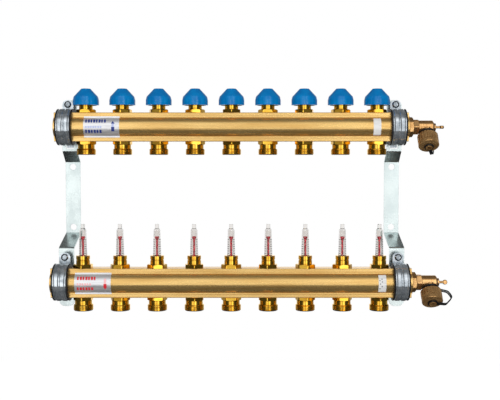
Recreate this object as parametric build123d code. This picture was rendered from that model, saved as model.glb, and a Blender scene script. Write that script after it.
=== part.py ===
from build123d import *
import math
import os

# Heating manifold: a return bar with hand-capped valves above a supply bar with flow meters,
# both clamped to two joggled wall brackets. Millimetres, +Z up, front is -Y.
# The origin is the centre of the four wall holes, in the wall plane.

# Layout
circuits = 9
circuit_pitch = 50.0
bar_end_margin = 42.0
return_axis_y = -47.0
return_axis_z = 98.0
supply_axis_y = -77.0
supply_axis_z = -112.0
clamp_inset = 14.0

# Extruded bar
bar_half_height = 19.75
bar_half_depth = 19.0
pad_half_width = 11.0
pad_strip = 4.6
ledge_height = 2.5
ledge_proud = 0.8
pad_corner = 0.8
bore_r = 14.6
end_thread_r = 15.15
end_thread_depth = 18.0
port_r = 9.0

# Fits
thread_clearance = 0.05
running_clearance = 0.05
seat_gap = 0.2

# Outlet nipple under each circuit
hex_across_flats = 24.0
outlet_hex_height = 4.4
outlet_neck_r = 11.5
outlet_neck_height = 5.6
outlet_ring_r = 13.2
outlet_ring_height = 8.2
outlet_bore_r = 7.5
outlet_cone_r = 9.4
outlet_cone_depth = 7.0
thread_chamfer = 0.9
valve_seat_depth = 9.0

# Return valve
bonnet_hex_height = 4.5
bonnet_neck_r = 9.3
bonnet_neck_height = 6.5
bonnet_thread_r = 14.9
bonnet_thread_height = 6.5
bonnet_boss_r = 7.5
bonnet_boss_height = 3.0
bonnet_spigot_depth = 7.5
spring_chamber_r = 6.0
spring_chamber_roof = 12.0
spindle_r = 2.0
spindle_collar_r = 5.6
spindle_collar_height = 2.0
valve_disc_r = 8.4
valve_disc_height = 3.0
valve_lift = 3.0
seal_ring_width = 1.5
seal_ring_height = 2.0

# Hand cap
cap_base = 10.2
cap_r = 17.75
cap_rim_height = 12.1
cap_height = 22.7
cap_top_r = 7.2
cap_crown_r = 13.6
cap_crown_height = 18.0
cap_shoulder_r = 2.0
cap_crown_bend_r = 4.0
cap_edge_r = 1.0
cap_flutes = 12
cap_flute_r = 4.6
cap_flute_depth = 0.45
cap_skirt_depth = 11.3
cap_roof = 5.5
cap_inner_r = 8.2

# Flow meter
meter_hex_height = 5.0
meter_ring_r = 9.25
meter_ring_height = 11.5
meter_groove_depth = 0.7
meter_groove_height = 1.2
meter_tube_r = 7.0
meter_tube_depth = 14.0
meter_tube_roof = 3.0
meter_window = 7.0
glass_seat_depth = 9.0
glass_r = 5.4
glass_top_r = 4.5
glass_height = 36.7
glass_shoulder = 2.2
glass_nipple_r = 2.75
glass_nipple_height = 5.8
glass_wall = 1.1
float_head_height = 25.7
float_head_r = 2.9
float_head_cone = 5.0
float_rod_r = 1.5
float_disc_r = 5.6
float_disc_height = 1.6
float_disc_z = 9.0

# Bracket, folded from strip
sheet = 2.5
bracket_width = 21.0
bracket_bend_r = 2.0
tab_gap = 0.3
tab_corner_r = 8.0
wall_hole_r = 4.5
wall_hole_spacing = 86.3
hole_to_upper_fold = 7.85
hole_to_lower_fold = 9.85
fold_to_slot = 3.35
screw_to_tab_end = 7.0
fold_to_ear = 4.2
slot_to_tab_end = 7.75
slot_width = 10.6
slot_height = 6.6
slot_play = 0.5

# Clamp: rubber liner, beaded band and screw
liner_width = 21.5
liner_skin = 0.5
liner_lip_height = 1.8
liner_lip = 1.9
band_sheet = 1.2
band_width = 17.4
bead_height = 0.95
bead_width = 4.4
bead_slope = 1.2
bead_centre = 4.1
ear_inset = 7.95
ear_width = 15.0
ear_screw_rise = 8.85
ear_end = 6.2
tongue_width = 9.4
hook_drop = 4.2
hook_gap = 0.3
screw_r = 2.5
screw_hole_gap = 0.3
screw_tip_r = 1.5
screw_tip_length = 1.25
screw_head_r = 4.9
screw_head_top_r = 3.05
screw_head_rim = 1.6
screw_head_height = 2.9
screw_reach = 5.0
recess_length = 5.2
recess_width = 1.1
recess_depth = 1.6

# Drain cock on the right end of each bar
plug_thread_length = 12.0
plug_flange_r = 16.9
plug_flange_width = 1.2
plug_hex_across_flats = 24.2
plug_hex_width = 5.8
cock_spigot_r = 7.6
cock_spigot_length = 9.0
cock_hex_across_flats = 20.2
cock_hex_turn = 30.0
cock_hex_width = 7.5
cock_body_r = 9.25
cock_body_length = 20.5
cock_chamfer = 1.4
cock_plug_r = 6.0
cock_plug_length = 14.0
cock_plug_wall = 2.2
cock_port_r = 3.4
cock_stem_r = 3.0
gland_r = 5.5
gland_width = 3.4
gland_spigot_r = 4.6
gland_spigot_length = 3.2
drain_seal_r = 6.2
drain_seal_width = 1.1
stem_neck_r = 1.7
stem_neck_length = 5.2
stem_head_r = 3.35
stem_flat = 4.2
outlet_offset = 11.5
return_outlet_tilt = 35.0
supply_outlet_tilt = 42.0
nozzle_neck_r = 8.0
nozzle_neck_end = 14.6
nozzle_thread_r = 10.4
nozzle_end = 25.0
nozzle_bore_r = 5.4
drain_cap_r = 14.0
drain_cap_start = 14.9
drain_cap_end = 32.0
drain_cap_ribs = 20
drain_cap_rib_r = 1.5
drain_cap_rib_depth = 0.7
drain_cap_rib_end = 27.0
drain_cap_chamfer = 1.2
gasket_width = 1.6
drain_boss_r = 4.3
drain_boss_lip_r = 4.9
drain_boss_height = 3.4
drain_boss_lip = 0.8
key_socket = 4.4
key_socket_depth = 6.0

# Strap that keeps the drain cap
strap_ring = 2.6
strap_ring_r = 11.4
strap_ring_start = 9.6
strap_boss_ring_r = 6.6
strap_thickness = 1.3
strap_width = 4.6
strap_slit = 1.9
strap_bulge = 28.5
strap_bend_r = 5.0
return_strap_turn = -68.0
supply_strap_turn = -8.0

# Print carriers on the bars' fronts
label_thickness = 0.25
label_gap = 0.02
label_half_height = 14.4
return_label_inset = 41.4
supply_label_inset = 33.4
label_length = 48.6
sticker_half_height = 11.4
return_sticker_inset = 49.0
supply_sticker_inset = 45.3
sticker_length = 10.3

# How far a cutting tool reaches past what it cuts
overcut = 1.0

# Values that follow
half_pitches = (circuits - 1) / 2
circuit_x = [(i - half_pitches) * circuit_pitch for i in range(circuits)]
bar_half_length = half_pitches * circuit_pitch + bar_end_margin
clamp_x = bar_half_length - clamp_inset
liner_r = math.hypot(bar_half_height, pad_half_width) + liner_skin
liner_lip_r = liner_r + liner_lip_height
band_inner_r = liner_r + thread_clearance
band_outer_r = band_inner_r + band_sheet + bead_height
ear_back = band_inner_r - ear_inset
ear_screw_height = band_inner_r + ear_screw_rise
ear_top = ear_screw_height + ear_end
tab_front = band_outer_r + tab_gap
slot_drop = band_inner_r - slot_play + slot_height / 2
upper_fold_start = wall_hole_spacing / 2 + hole_to_upper_fold
upper_fold_end = return_axis_z - slot_drop - slot_height / 2 - fold_to_slot
upper_tab_end = ear_screw_height + screw_to_tab_end
lower_fold_start = wall_hole_spacing / 2 + hole_to_lower_fold
lower_fold_end = -supply_axis_z - ear_top - fold_to_ear
lower_tab_end = slot_drop + slot_height / 2 + slot_to_tab_end
spigot_r = port_r - thread_clearance
bonnet_thread_base = bar_half_height + bonnet_hex_height + bonnet_neck_height
bonnet_boss_base = bonnet_thread_base + bonnet_thread_height
bonnet_top = bonnet_boss_base + bonnet_boss_height
cap_bottom = bar_half_height + cap_base
cap_ceiling = cap_bottom + cap_height - cap_roof
meter_ring_base = bar_half_height + meter_hex_height
meter_ring_top = meter_ring_base + meter_ring_height
glass_floor = meter_ring_top - glass_seat_depth
plug_face = bar_half_length + plug_flange_width + plug_hex_width
cock_body_start = plug_face + cock_hex_width
cock_body_end = cock_body_start + cock_body_length
outlet_x = cock_body_start + outlet_offset
gland_end = cock_body_end + gland_width

os.makedirs("parts", exist_ok=True)


def save(name, *solids):
    """Write one node, which may hold several separate solids."""
    pieces = [s for shape in solids for s in shape.solids()]
    export_step(pieces[0] if len(pieces) == 1 else Compound(children=pieces), f"parts/{name}.step")


def turned_z(points):
    """Turn a profile of (radius, height) points about the Z axis."""
    return revolve(Plane.XZ * make_face(Polyline(*points, close=True)), Axis.Z)


def turned_x(points, angle=360.0):
    """Turn a profile of (x, radius) points about the X axis, starting from +Y towards +Z."""
    return revolve(make_face(Polyline(*points, close=True)), Axis.X, angle)


def hex_z(across_flats, low, high, turn=0.0):
    """A hexagonal prism about Z between two heights."""
    outline = RegularPolygon(across_flats / math.sqrt(3), 6, rotation=turn)
    return Pos(0, 0, low) * extrude(outline, high - low)


def tightening_angle(index):
    """Where a screwed fitting's hexagon comes to rest; each one stops elsewhere."""
    turn_per_fitting = 23.0
    return (index * turn_per_fitting) % 60.0


def bar_section(grow=0.0):
    """The bar's outer section in the YZ plane, grown outwards all round."""
    ledge_bottom = bar_half_height - pad_strip - ledge_height
    sagitta = bar_half_depth - pad_half_width
    bulge_r = (ledge_bottom**2 + sagitta**2) / (2 * sagitta)
    bulge_centre = bar_half_depth - bulge_r
    low = ledge_bottom - grow
    high = bar_half_height - pad_strip + grow
    top = bar_half_height + grow
    pad = pad_half_width + grow
    ledge = pad + ledge_proud
    bulge_end = bulge_centre + math.sqrt((bulge_r + grow) ** 2 - low**2)
    bulge_face = bar_half_depth + grow
    right = [(pad, top), (pad, high), (ledge, high), (ledge, low), (bulge_end, low)]
    crest = [(-y, z) for y, z in reversed(right)] + right
    base = [(-y, -z) for y, z in crest]
    near_bulge = ThreePointArc(base[-1], (-bulge_face, 0), crest[0])
    far_bulge = ThreePointArc(crest[-1], (bulge_face, 0), base[0])
    section = make_face([Polyline(*crest), far_bulge, Polyline(*base), near_bulge])
    corners = [v for v in section.vertices() if abs(abs(v.Y) - top) < ledge_proud / 2]
    return fillet(corners, pad_corner + grow)


def bar():
    """The extruded brass bar about its own axis, bored through and holed for its fittings."""
    body = Plane.YZ * bar_section()
    solid = Pos(-bar_half_length, 0, 0) * extrude(body, 2 * bar_half_length)
    solid -= Rot(0, 90, 0) * Cylinder(bore_r, 2 * (bar_half_length + overcut))
    tapping = Rot(0, 90, 0) * Cylinder(end_thread_r, end_thread_depth)
    tapping_x = bar_half_length - end_thread_depth / 2
    solid -= [Pos(side * tapping_x, 0, 0) * tapping for side in (-1, 1)]
    port = Cylinder(port_r, 2 * (bar_half_height + overcut))
    return solid - [Pos(x, 0, 0) * port for x in circuit_x]


def outlet_nipple(index):
    """Male three-quarter inch outlet, screwed into the bar from below, with a valve seat on top."""
    hex_base = -bar_half_height - outlet_hex_height
    neck_base = hex_base - outlet_neck_height
    ring_base = neck_base - outlet_ring_height
    body = turned_z([
        (outlet_bore_r, -valve_seat_depth),
        (spigot_r, -valve_seat_depth),
        (spigot_r, -bar_half_height),
        (outlet_neck_r, -bar_half_height),
        (outlet_neck_r, neck_base),
        (outlet_ring_r - thread_chamfer, neck_base),
        (outlet_ring_r, neck_base - thread_chamfer),
        (outlet_ring_r, ring_base + thread_chamfer),
        (outlet_ring_r - thread_chamfer, ring_base),
        (outlet_cone_r, ring_base),
        (outlet_bore_r, ring_base + outlet_cone_depth),
    ])
    flange = hex_z(hex_across_flats, hex_base, -bar_half_height, tightening_angle(index))
    return body + (flange - Pos(0, 0, hex_base) * Cylinder(outlet_bore_r, 2 * (outlet_hex_height + overcut)))


def bonnet(index):
    """Valve bonnet: hexagon, neck, thread for the hand cap and the boss that guides the spindle."""
    neck_base = bar_half_height + bonnet_hex_height
    roof = bar_half_height + spring_chamber_roof
    spigot_base = bar_half_height - bonnet_spigot_depth
    seal_base = roof + seal_ring_height
    guide_r = spindle_r + running_clearance
    body = turned_z([
        (spring_chamber_r, spigot_base),
        (spigot_r, spigot_base),
        (spigot_r, neck_base),
        (bonnet_neck_r, neck_base),
        (bonnet_neck_r, bonnet_thread_base),
        (bonnet_thread_r, bonnet_thread_base),
        (bonnet_thread_r, bonnet_boss_base),
        (bonnet_boss_r, bonnet_boss_base),
        (bonnet_boss_r, bonnet_top),
        (guide_r, bonnet_top),
        (guide_r, seal_base),
        (guide_r + seal_ring_width, seal_base),
        (guide_r + seal_ring_width, roof),
        (spring_chamber_r, roof),
    ])
    flange = hex_z(hex_across_flats, bar_half_height, neck_base, tightening_angle(index))
    bore = Pos(0, 0, neck_base) * Cylinder(spring_chamber_r, 2 * (bonnet_hex_height + overcut))
    return body + (flange - bore)


def spindle_seal():
    """Rubber ring round the spindle, in the groove above the spring chamber."""
    roof = bar_half_height + spring_chamber_roof
    inner = spindle_r + running_clearance
    outer = inner + seal_ring_width - thread_clearance
    return turned_z([
        (inner, roof + thread_clearance),
        (outer, roof + thread_clearance),
        (outer, roof + seal_ring_height - thread_clearance),
        (inner, roof + seal_ring_height - thread_clearance),
    ])


def spindle():
    """Valve spindle, open: the disc stands its lift above the seat, the tip meets the cap's roof."""
    disc_base = -valve_seat_depth + valve_lift + seat_gap
    disc_top = disc_base + valve_disc_height
    collar_top = bar_half_height + spring_chamber_roof - seat_gap
    collar_base = collar_top - spindle_collar_height
    tip = cap_ceiling - thread_clearance
    return turned_z([
        (0, disc_base),
        (valve_disc_r, disc_base),
        (valve_disc_r, disc_top),
        (spindle_r, disc_top),
        (spindle_r, collar_base),
        (spindle_collar_r, collar_base),
        (spindle_collar_r, collar_top),
        (spindle_r, collar_top),
        (spindle_r, tip),
        (0, tip),
    ])


def hand_cap():
    """Plastic hand cap: fluted rim, conical crown, threaded skirt and a roof over the spindle tip."""
    rim_top = cap_bottom + cap_rim_height
    top = cap_bottom + cap_height
    crown = cap_bottom + cap_crown_height
    skirt_r = bonnet_thread_r + running_clearance
    skirt_top = cap_bottom + cap_skirt_depth
    outside = FilletPolyline(
        (cap_r, cap_bottom),
        (cap_r, rim_top),
        (cap_crown_r, crown),
        (cap_top_r, top),
        (0, top),
        radius=[cap_shoulder_r, cap_crown_bend_r, cap_edge_r],
    )
    inside = Polyline(
        (0, top),
        (0, cap_ceiling),
        (cap_inner_r, cap_ceiling),
        (cap_inner_r, skirt_top),
        (skirt_r, skirt_top),
        (skirt_r, cap_bottom),
        (cap_r, cap_bottom),
    )
    body = revolve(Plane.XZ * make_face([outside, inside]), Axis.Z)
    flute = Pos(cap_r + cap_flute_r - cap_flute_depth, 0, cap_bottom + cap_height / 2)
    flute = flute * Cylinder(cap_flute_r, cap_height + 2 * overcut)
    return body - [Rot(0, 0, k * 360 / cap_flutes) * flute for k in range(cap_flutes)]


def meter_body(index):
    """Flow meter body: hexagon, grooved ring that holds the glass, guide bore and windowed tube."""
    groove_low = meter_ring_base + (meter_ring_height - meter_groove_height) / 2
    groove_high = groove_low + meter_groove_height
    tube_base = bar_half_height - meter_tube_depth
    tube_roof = bar_half_height + meter_tube_roof
    socket_r = glass_r + thread_clearance
    guide_r = float_rod_r + running_clearance
    body = turned_z([
        (meter_tube_r, tube_base),
        (spigot_r, tube_base),
        (spigot_r, meter_ring_base),
        (meter_ring_r, meter_ring_base),
        (meter_ring_r, groove_low),
        (meter_ring_r - meter_groove_depth, groove_low),
        (meter_ring_r - meter_groove_depth, groove_high),
        (meter_ring_r, groove_high),
        (meter_ring_r, meter_ring_top),
        (socket_r, meter_ring_top),
        (socket_r, glass_floor),
        (guide_r, glass_floor),
        (guide_r, tube_roof),
        (meter_tube_r, tube_roof),
    ])
    flange = hex_z(hex_across_flats, bar_half_height, meter_ring_base, tightening_angle(index + circuits))
    core = Pos(0, 0, bar_half_height) * Cylinder(spigot_r, 2 * (meter_hex_height + overcut))
    window = Pos(0, 0, tube_base + meter_window / 2) * Box(meter_window, 2 * port_r, meter_window)
    return body + (flange - core) - window


def sight_glass():
    """Clear glass with a tapered wall, a shoulder and a closed nipple."""
    top = meter_ring_top + glass_height
    shoulder = top - glass_shoulder
    foot = glass_floor + thread_clearance
    inner_r = glass_top_r - glass_wall
    return turned_z([
        (inner_r, foot),
        (glass_r, foot),
        (glass_r, meter_ring_top),
        (glass_top_r, shoulder),
        (glass_nipple_r, top),
        (glass_nipple_r, top + glass_nipple_height),
        (0, top + glass_nipple_height),
        (0, shoulder),
        (inner_r, shoulder),
    ])


def meter_float():
    """Red pointer with its funnel head, the rod and the disc that the flow pulls down."""
    head = meter_ring_top + float_head_height
    return turned_z([
        (0, float_disc_z),
        (float_disc_r, float_disc_z),
        (float_disc_r, float_disc_z + float_disc_height),
        (float_rod_r, float_disc_z + float_disc_height),
        (float_rod_r, head - float_head_cone),
        (float_head_r, head - float_head_r / 2),
        (float_head_r, head),
        (0, head),
    ])


def bracket():
    """Wall bracket folded from strip: web on the wall, an upper and a deeper lower tab."""
    upper_back = return_axis_y + tab_front + sheet
    lower_back = supply_axis_y + tab_front + sheet
    path = FilletPolyline(
        (lower_back, supply_axis_z - lower_tab_end),
        (lower_back, -lower_fold_end),
        (0, -lower_fold_start),
        (0, upper_fold_start),
        (upper_back, upper_fold_end),
        (upper_back, return_axis_z + upper_tab_end),
        radius=bracket_bend_r,
    )
    strip = make_face(offset(path, sheet, side=Side.LEFT))
    solid = Pos(-bracket_width / 2, 0, 0) * extrude(Plane.YZ * strip, bracket_width)
    ends = solid.edges().filter_by(Axis.Y).sort_by(Axis.Z)
    solid = fillet(ends[:2] + ends[-2:], tab_corner_r)
    drill = Rot(90, 0, 0) * Cylinder(wall_hole_r, 4 * sheet)
    solid -= [Pos(0, 0, side * wall_hole_spacing / 2) * drill for side in (-1, 1)]
    tapping = Rot(90, 0, 0) * Cylinder(screw_r + thread_clearance, 4 * sheet)
    slot = Box(slot_width, 4 * sheet, slot_height)
    for back, axis_z in ((upper_back, return_axis_z), (lower_back, supply_axis_z)):
        solid -= Pos(0, back, axis_z + ear_screw_height) * tapping
        solid -= Pos(0, back, axis_z - slot_drop) * slot
    return solid


def liner():
    """Rubber liner between bar and band, with a lip beside each edge of the band."""
    half = liner_width / 2
    ring = turned_x([
        (-half, 0),
        (-half, liner_lip_r),
        (-half + liner_lip, liner_lip_r),
        (-half + liner_lip, liner_r),
        (half - liner_lip, liner_r),
        (half - liner_lip, liner_lip_r),
        (half, liner_lip_r),
        (half, 0),
    ])
    core = Plane.YZ * bar_section(thread_clearance)
    return ring - Pos(-liner_width, 0, 0) * extrude(core, 2 * liner_width)


def bead_path():
    """Half section of the band's inner face, as (x, radius) points with two raised beads."""
    flat = bead_width / 2
    foot = flat + bead_slope
    high = band_inner_r + bead_height
    right = [
        (bead_centre - foot, band_inner_r),
        (bead_centre - flat, high),
        (bead_centre + flat, high),
        (bead_centre + foot, band_inner_r),
        (band_width / 2, band_inner_r),
    ]
    left = [(-x, r) for x, r in reversed(right)]
    return left + right


def clamp_band():
    """Beaded band hooked through the tab's slot, wrapped round the front, ended in a screwed ear."""
    inner = bead_path()
    outer = [(x, r + band_sheet) for x, r in reversed(inner)]
    ear_angle = math.degrees(math.acos(ear_back / band_inner_r))
    wrap = Rot(ear_angle, 0, 0) * turned_x(inner + outer, 270.0 - ear_angle)
    ear_low = math.sqrt(band_inner_r**2 - (ear_back - band_sheet / 2) ** 2)
    ear_mid = Pos(0, ear_back, (ear_low + ear_screw_height) / 2)
    ear = ear_mid * Box(ear_width, band_sheet, ear_screw_height - ear_low)
    crown_r = ear_top - ear_screw_height
    cheek = (ear_width / 2 - crown_r) / 2
    eye = Pos(0, ear_back, ear_screw_height)
    crown = [Pos(side * cheek, 0, 0) * Rot(90, 0, 0) * Cylinder(crown_r, band_sheet) for side in (-1, 1)]
    crown += [Pos(0, 0, crown_r / 2) * Box(2 * cheek, band_sheet, crown_r)]
    ear += [eye * piece for piece in crown]
    ear -= eye * Rot(90, 0, 0) * Cylinder(screw_r + screw_hole_gap, 2 * band_sheet)
    hook_start = tab_front + sheet + hook_gap
    tongue_end = hook_start + band_sheet
    tongue_z = -band_inner_r - band_sheet / 2
    tongue = Pos(0, tongue_end / 2, tongue_z) * Box(tongue_width, tongue_end, band_sheet)
    hook = Pos(0, hook_start + band_sheet / 2, tongue_z - hook_drop / 2)
    hook = hook * Box(tongue_width, band_sheet, hook_drop + band_sheet)
    return wrap + ear + tongue + hook


def clamp_screw():
    """Pan-head screw through the ear, threaded into the tab, with a cross recess."""
    under_head = ear_back - band_sheet / 2
    tip = tab_front + sheet + screw_reach
    head_top = under_head - screw_head_height
    profile = [
        (0, head_top),
        (screw_head_top_r, head_top),
        (screw_head_r, under_head - screw_head_rim),
        (screw_head_r, under_head),
        (screw_r, under_head),
        (screw_r, tip - screw_tip_length),
        (screw_tip_r, tip),
        (0, tip),
    ]
    along = revolve(make_face(Polyline(*profile, close=True)), Axis.Y)
    recess = Pos(0, head_top, 0) * Box(recess_length, 2 * recess_depth, recess_width)
    recess += Pos(0, head_top, 0) * Box(recess_width, 2 * recess_depth, recess_length)
    return Pos(0, 0, ear_screw_height) * (along - recess)


def end_plug():
    """Reducing plug screwed into the bar's right end, with a hexagon."""
    start = bar_half_length - plug_thread_length
    flange = bar_half_length + plug_flange_width
    bore = cock_spigot_r + thread_clearance
    body = turned_x([
        (start, bore),
        (start, end_thread_r - thread_clearance),
        (bar_half_length, end_thread_r - thread_clearance),
        (bar_half_length, plug_flange_r),
        (flange, plug_flange_r),
        (flange, bore),
    ])
    nut = Pos(flange, 0, 0) * Rot(0, 90, 0) * hex_z(plug_hex_across_flats, 0, plug_hex_width)
    hole = Pos(flange, 0, 0) * Rot(0, 90, 0) * Cylinder(bore, 2 * (plug_hex_width + overcut))
    return body + (nut - hole)


def tilted(tilt):
    """The outlet's own frame: +Z runs out along the nozzle, X stays along the bar."""
    direction = (0, -math.sin(math.radians(tilt)), -math.cos(math.radians(tilt)))
    return Plane(origin=(outlet_x, 0, 0), x_dir=(1, 0, 0), z_dir=direction)


def drain_body(tilt):
    """Cock body: spigot, hexagon, round body bored for the plug, and the tilted threaded nozzle."""
    spigot_start = plug_face - cock_spigot_length
    bore = cock_plug_r + running_clearance
    plug_end = cock_body_start + cock_plug_length
    stem_bore = cock_stem_r + running_clearance
    gland_bore = gland_spigot_r + thread_clearance
    gland_floor = cock_body_end - gland_spigot_length - thread_clearance
    body = turned_x([
        (spigot_start, bore),
        (spigot_start, cock_spigot_r),
        (cock_body_start, cock_spigot_r),
        (cock_body_start, cock_body_r),
        (cock_body_end - cock_chamfer, cock_body_r),
        (cock_body_end, cock_body_r - cock_chamfer),
        (cock_body_end, gland_bore),
        (gland_floor, gland_bore),
        (gland_floor, stem_bore),
        (plug_end + seat_gap, stem_bore),
        (plug_end + seat_gap, bore),
    ])
    nut = Pos(plug_face, 0, 0) * Rot(0, 90, 0)
    nut = nut * hex_z(cock_hex_across_flats, 0, cock_hex_width, cock_hex_turn)
    hollow = Pos(plug_face, 0, 0) * Rot(0, 90, 0) * Cylinder(bore, 2 * (cock_hex_width + overcut))
    nozzle = turned_z([
        (0, 0),
        (nozzle_neck_r, 0),
        (nozzle_neck_r, nozzle_neck_end),
        (nozzle_thread_r, nozzle_neck_end),
        (nozzle_thread_r, nozzle_end - thread_chamfer),
        (nozzle_thread_r - thread_chamfer, nozzle_end),
        (0, nozzle_end),
    ])
    passage = Pos(0, 0, nozzle_end / 2) * Cylinder(nozzle_bore_r, nozzle_end + 2 * overcut)
    length = cock_body_end - plug_face
    clearing = Pos(plug_face + length / 2, 0, 0) * Rot(0, 90, 0)
    inside = Pos((plug_face + plug_end + seat_gap) / 2, 0, 0) * Rot(0, 90, 0)
    inside = inside * Cylinder(bore, plug_end + seat_gap - plug_face)
    frame = tilted(tilt)
    lower = (frame * nozzle) - clearing * Cylinder(bore, length) - frame * passage
    return body + (nut - hollow) + lower - inside - frame * passage


def drain_stem(tilt, quarter):
    """Turning plug and stem in one piece; the head's flats show how far it is turned."""
    start = cock_body_start + seat_gap
    plug_end = cock_body_start + cock_plug_length
    head_centre = gland_end + stem_neck_length + stem_head_r
    hollow = plug_end - cock_plug_wall
    shaft = turned_x([
        (start, cock_plug_r - cock_plug_wall),
        (start, cock_plug_r),
        (plug_end, cock_plug_r),
        (plug_end, cock_stem_r),
        (gland_end, cock_stem_r),
        (gland_end + seat_gap, stem_neck_r),
        (head_centre, stem_neck_r),
        (head_centre, 0),
        (hollow, 0),
        (hollow, cock_plug_r - cock_plug_wall),
    ])
    head = Pos(head_centre, 0, 0) * Sphere(stem_head_r)
    flats = Pos(head_centre, 0, 0) * Box(2 * stem_head_r, 2 * stem_head_r, stem_flat)
    port = Pos(0, 0, cock_plug_r) * Cylinder(cock_port_r, 2 * cock_plug_r)
    stem = shaft + (head & flats) - tilted(tilt) * port
    return Rot(quarter, 0, 0) * stem


def gland():
    """Gland nut round the stem at the body's end."""
    bore = cock_stem_r + running_clearance
    start = cock_body_end - gland_spigot_length
    collar = cock_body_end + drain_seal_width
    return turned_x([
        (start, bore),
        (start, gland_spigot_r),
        (collar, gland_spigot_r),
        (collar, gland_r),
        (gland_end, gland_r),
        (gland_end, bore),
    ])


def drain_seal():
    """Dark ring between the body and the gland nut."""
    end = cock_body_end + drain_seal_width - thread_clearance
    inner = gland_spigot_r + thread_clearance
    return turned_x([
        (cock_body_end + thread_clearance, inner),
        (cock_body_end + thread_clearance, drain_seal_r),
        (end, drain_seal_r),
        (end, inner),
    ])


def drain_cap():
    """Ribbed screw cap in the outlet's frame, with a boss that holds the key socket."""
    thread_r = nozzle_thread_r + thread_clearance
    floor = nozzle_end + gasket_width + 2 * thread_clearance
    lip_base = drain_cap_end + drain_boss_height - drain_boss_lip
    boss_top = drain_cap_end + drain_boss_height
    body = turned_z([
        (0, floor),
        (thread_r, floor),
        (thread_r, drain_cap_start),
        (drain_cap_r, drain_cap_start),
        (drain_cap_r, drain_cap_end - drain_cap_chamfer),
        (drain_cap_r - drain_cap_chamfer, drain_cap_end),
        (drain_boss_r, drain_cap_end),
        (drain_boss_r, lip_base),
        (drain_boss_lip_r, lip_base),
        (drain_boss_lip_r, boss_top),
        (0, boss_top),
    ])
    rib_middle = (drain_cap_start + drain_cap_rib_end) / 2
    rib_length = drain_cap_rib_end - drain_cap_start
    gap = Pos(drain_cap_r + drain_cap_rib_r - drain_cap_rib_depth, 0, rib_middle)
    gap = gap * Cylinder(drain_cap_rib_r, rib_length)
    body -= [Rot(0, 0, k * 360 / drain_cap_ribs) * gap for k in range(drain_cap_ribs)]
    return body - Pos(0, 0, boss_top) * Box(key_socket, key_socket, 2 * key_socket_depth)


def gasket():
    """Flat rubber ring between the nozzle's end and the cap's floor."""
    low = nozzle_end + thread_clearance
    return turned_z([
        (nozzle_bore_r, low),
        (nozzle_thread_r - thread_chamfer, low),
        (nozzle_thread_r - thread_chamfer, low + gasket_width),
        (nozzle_bore_r, low + gasket_width),
    ])


def strap(turn):
    """Moulded strap in the outlet's frame: a ring on the neck, a split link and a ring on the boss."""
    ring_mid = strap_ring_start + strap_ring / 2
    boss_mid = drain_cap_end + seat_gap + strap_ring / 2
    neck_ring = Cylinder(strap_ring_r, strap_ring) - Cylinder(nozzle_neck_r + seat_gap, 2 * strap_ring)
    boss_ring = Cylinder(strap_boss_ring_r, strap_ring)
    boss_ring -= Cylinder(drain_boss_lip_r + seat_gap, 2 * strap_ring)
    path = FilletPolyline(
        (strap_ring_r - strap_thickness, ring_mid),
        (strap_bulge - strap_bend_r, ring_mid + strap_bend_r / 2),
        (strap_bulge, (ring_mid + boss_mid) / 2),
        (strap_bulge - 2 * strap_bend_r, boss_mid),
        (strap_boss_ring_r - strap_thickness / 2, boss_mid),
        radius=strap_bend_r,
    )
    ribbon = make_face(offset(path, strap_thickness / 2))
    link = extrude(Plane.XZ * ribbon, strap_width / 2, both=True)
    slit_height = boss_mid - ring_mid - strap_ring
    slit = Box(2 * strap_bulge, strap_slit, slit_height)
    link -= Pos(strap_bulge + strap_ring_r + strap_ring, 0, ring_mid + slit_height / 2) * slit
    solid = Pos(0, 0, ring_mid) * neck_ring + Pos(0, 0, boss_mid) * boss_ring + link
    return Rot(0, 0, turn) * solid


def front_film(start, length, half_height):
    """A thin label that lies on the bar's front and follows its bulge."""
    outer = bar_section(label_gap + label_thickness)
    inner = bar_section(label_gap)
    window = Pos(-bar_half_depth, 0) * Rectangle(bar_half_depth, 2 * half_height)
    film = (outer - inner) & window
    return Pos(start, 0, 0) * extrude(Plane.YZ * film, length)


at_return = Pos(0, return_axis_y, return_axis_z)
at_supply = Pos(0, supply_axis_y, supply_axis_z)
clamp_seats = [
    ("return_left", Pos(-clamp_x, 0, 0) * at_return),
    ("return_right", Pos(clamp_x, 0, 0) * at_return),
    ("supply_left", Pos(-clamp_x, 0, 0) * at_supply),
    ("supply_right", Pos(clamp_x, 0, 0) * at_supply),
]

# Bars and brackets
save("return_bar", at_return * bar())
save("supply_bar", at_supply * bar())
save("left_bracket", Pos(-clamp_x, 0, 0) * bracket())
save("right_bracket", Pos(clamp_x, 0, 0) * bracket())

# Clamps
for name, seat in clamp_seats:
    save(f"{name}_clamp", seat * clamp_band())
save("clamp_liners", *[seat * liner() for name, seat in clamp_seats])
save("clamp_screws", *[seat * clamp_screw() for name, seat in clamp_seats])

# Circuits
on_return = [Pos(x, 0, 0) * at_return for x in circuit_x]
on_supply = [Pos(x, 0, 0) * at_supply for x in circuit_x]
save("return_bonnets", *[seat * bonnet(i) for i, seat in enumerate(on_return)])
save("spindle_seals", *[seat * spindle_seal() for seat in on_return])
save("return_outlets", *[seat * outlet_nipple(i) for i, seat in enumerate(on_return)])
save("supply_outlets", *[seat * outlet_nipple(i + circuits) for i, seat in enumerate(on_supply)])
save("meter_bodies", *[seat * meter_body(i) for i, seat in enumerate(on_supply)])
save("sight_glasses", *[seat * sight_glass() for seat in on_supply])
for i in range(circuits):
    save(f"spindle_{i + 1}", on_return[i] * spindle())
    save(f"cap_{i + 1}", on_return[i] * hand_cap())
    save(f"float_{i + 1}", on_supply[i] * meter_float())

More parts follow.
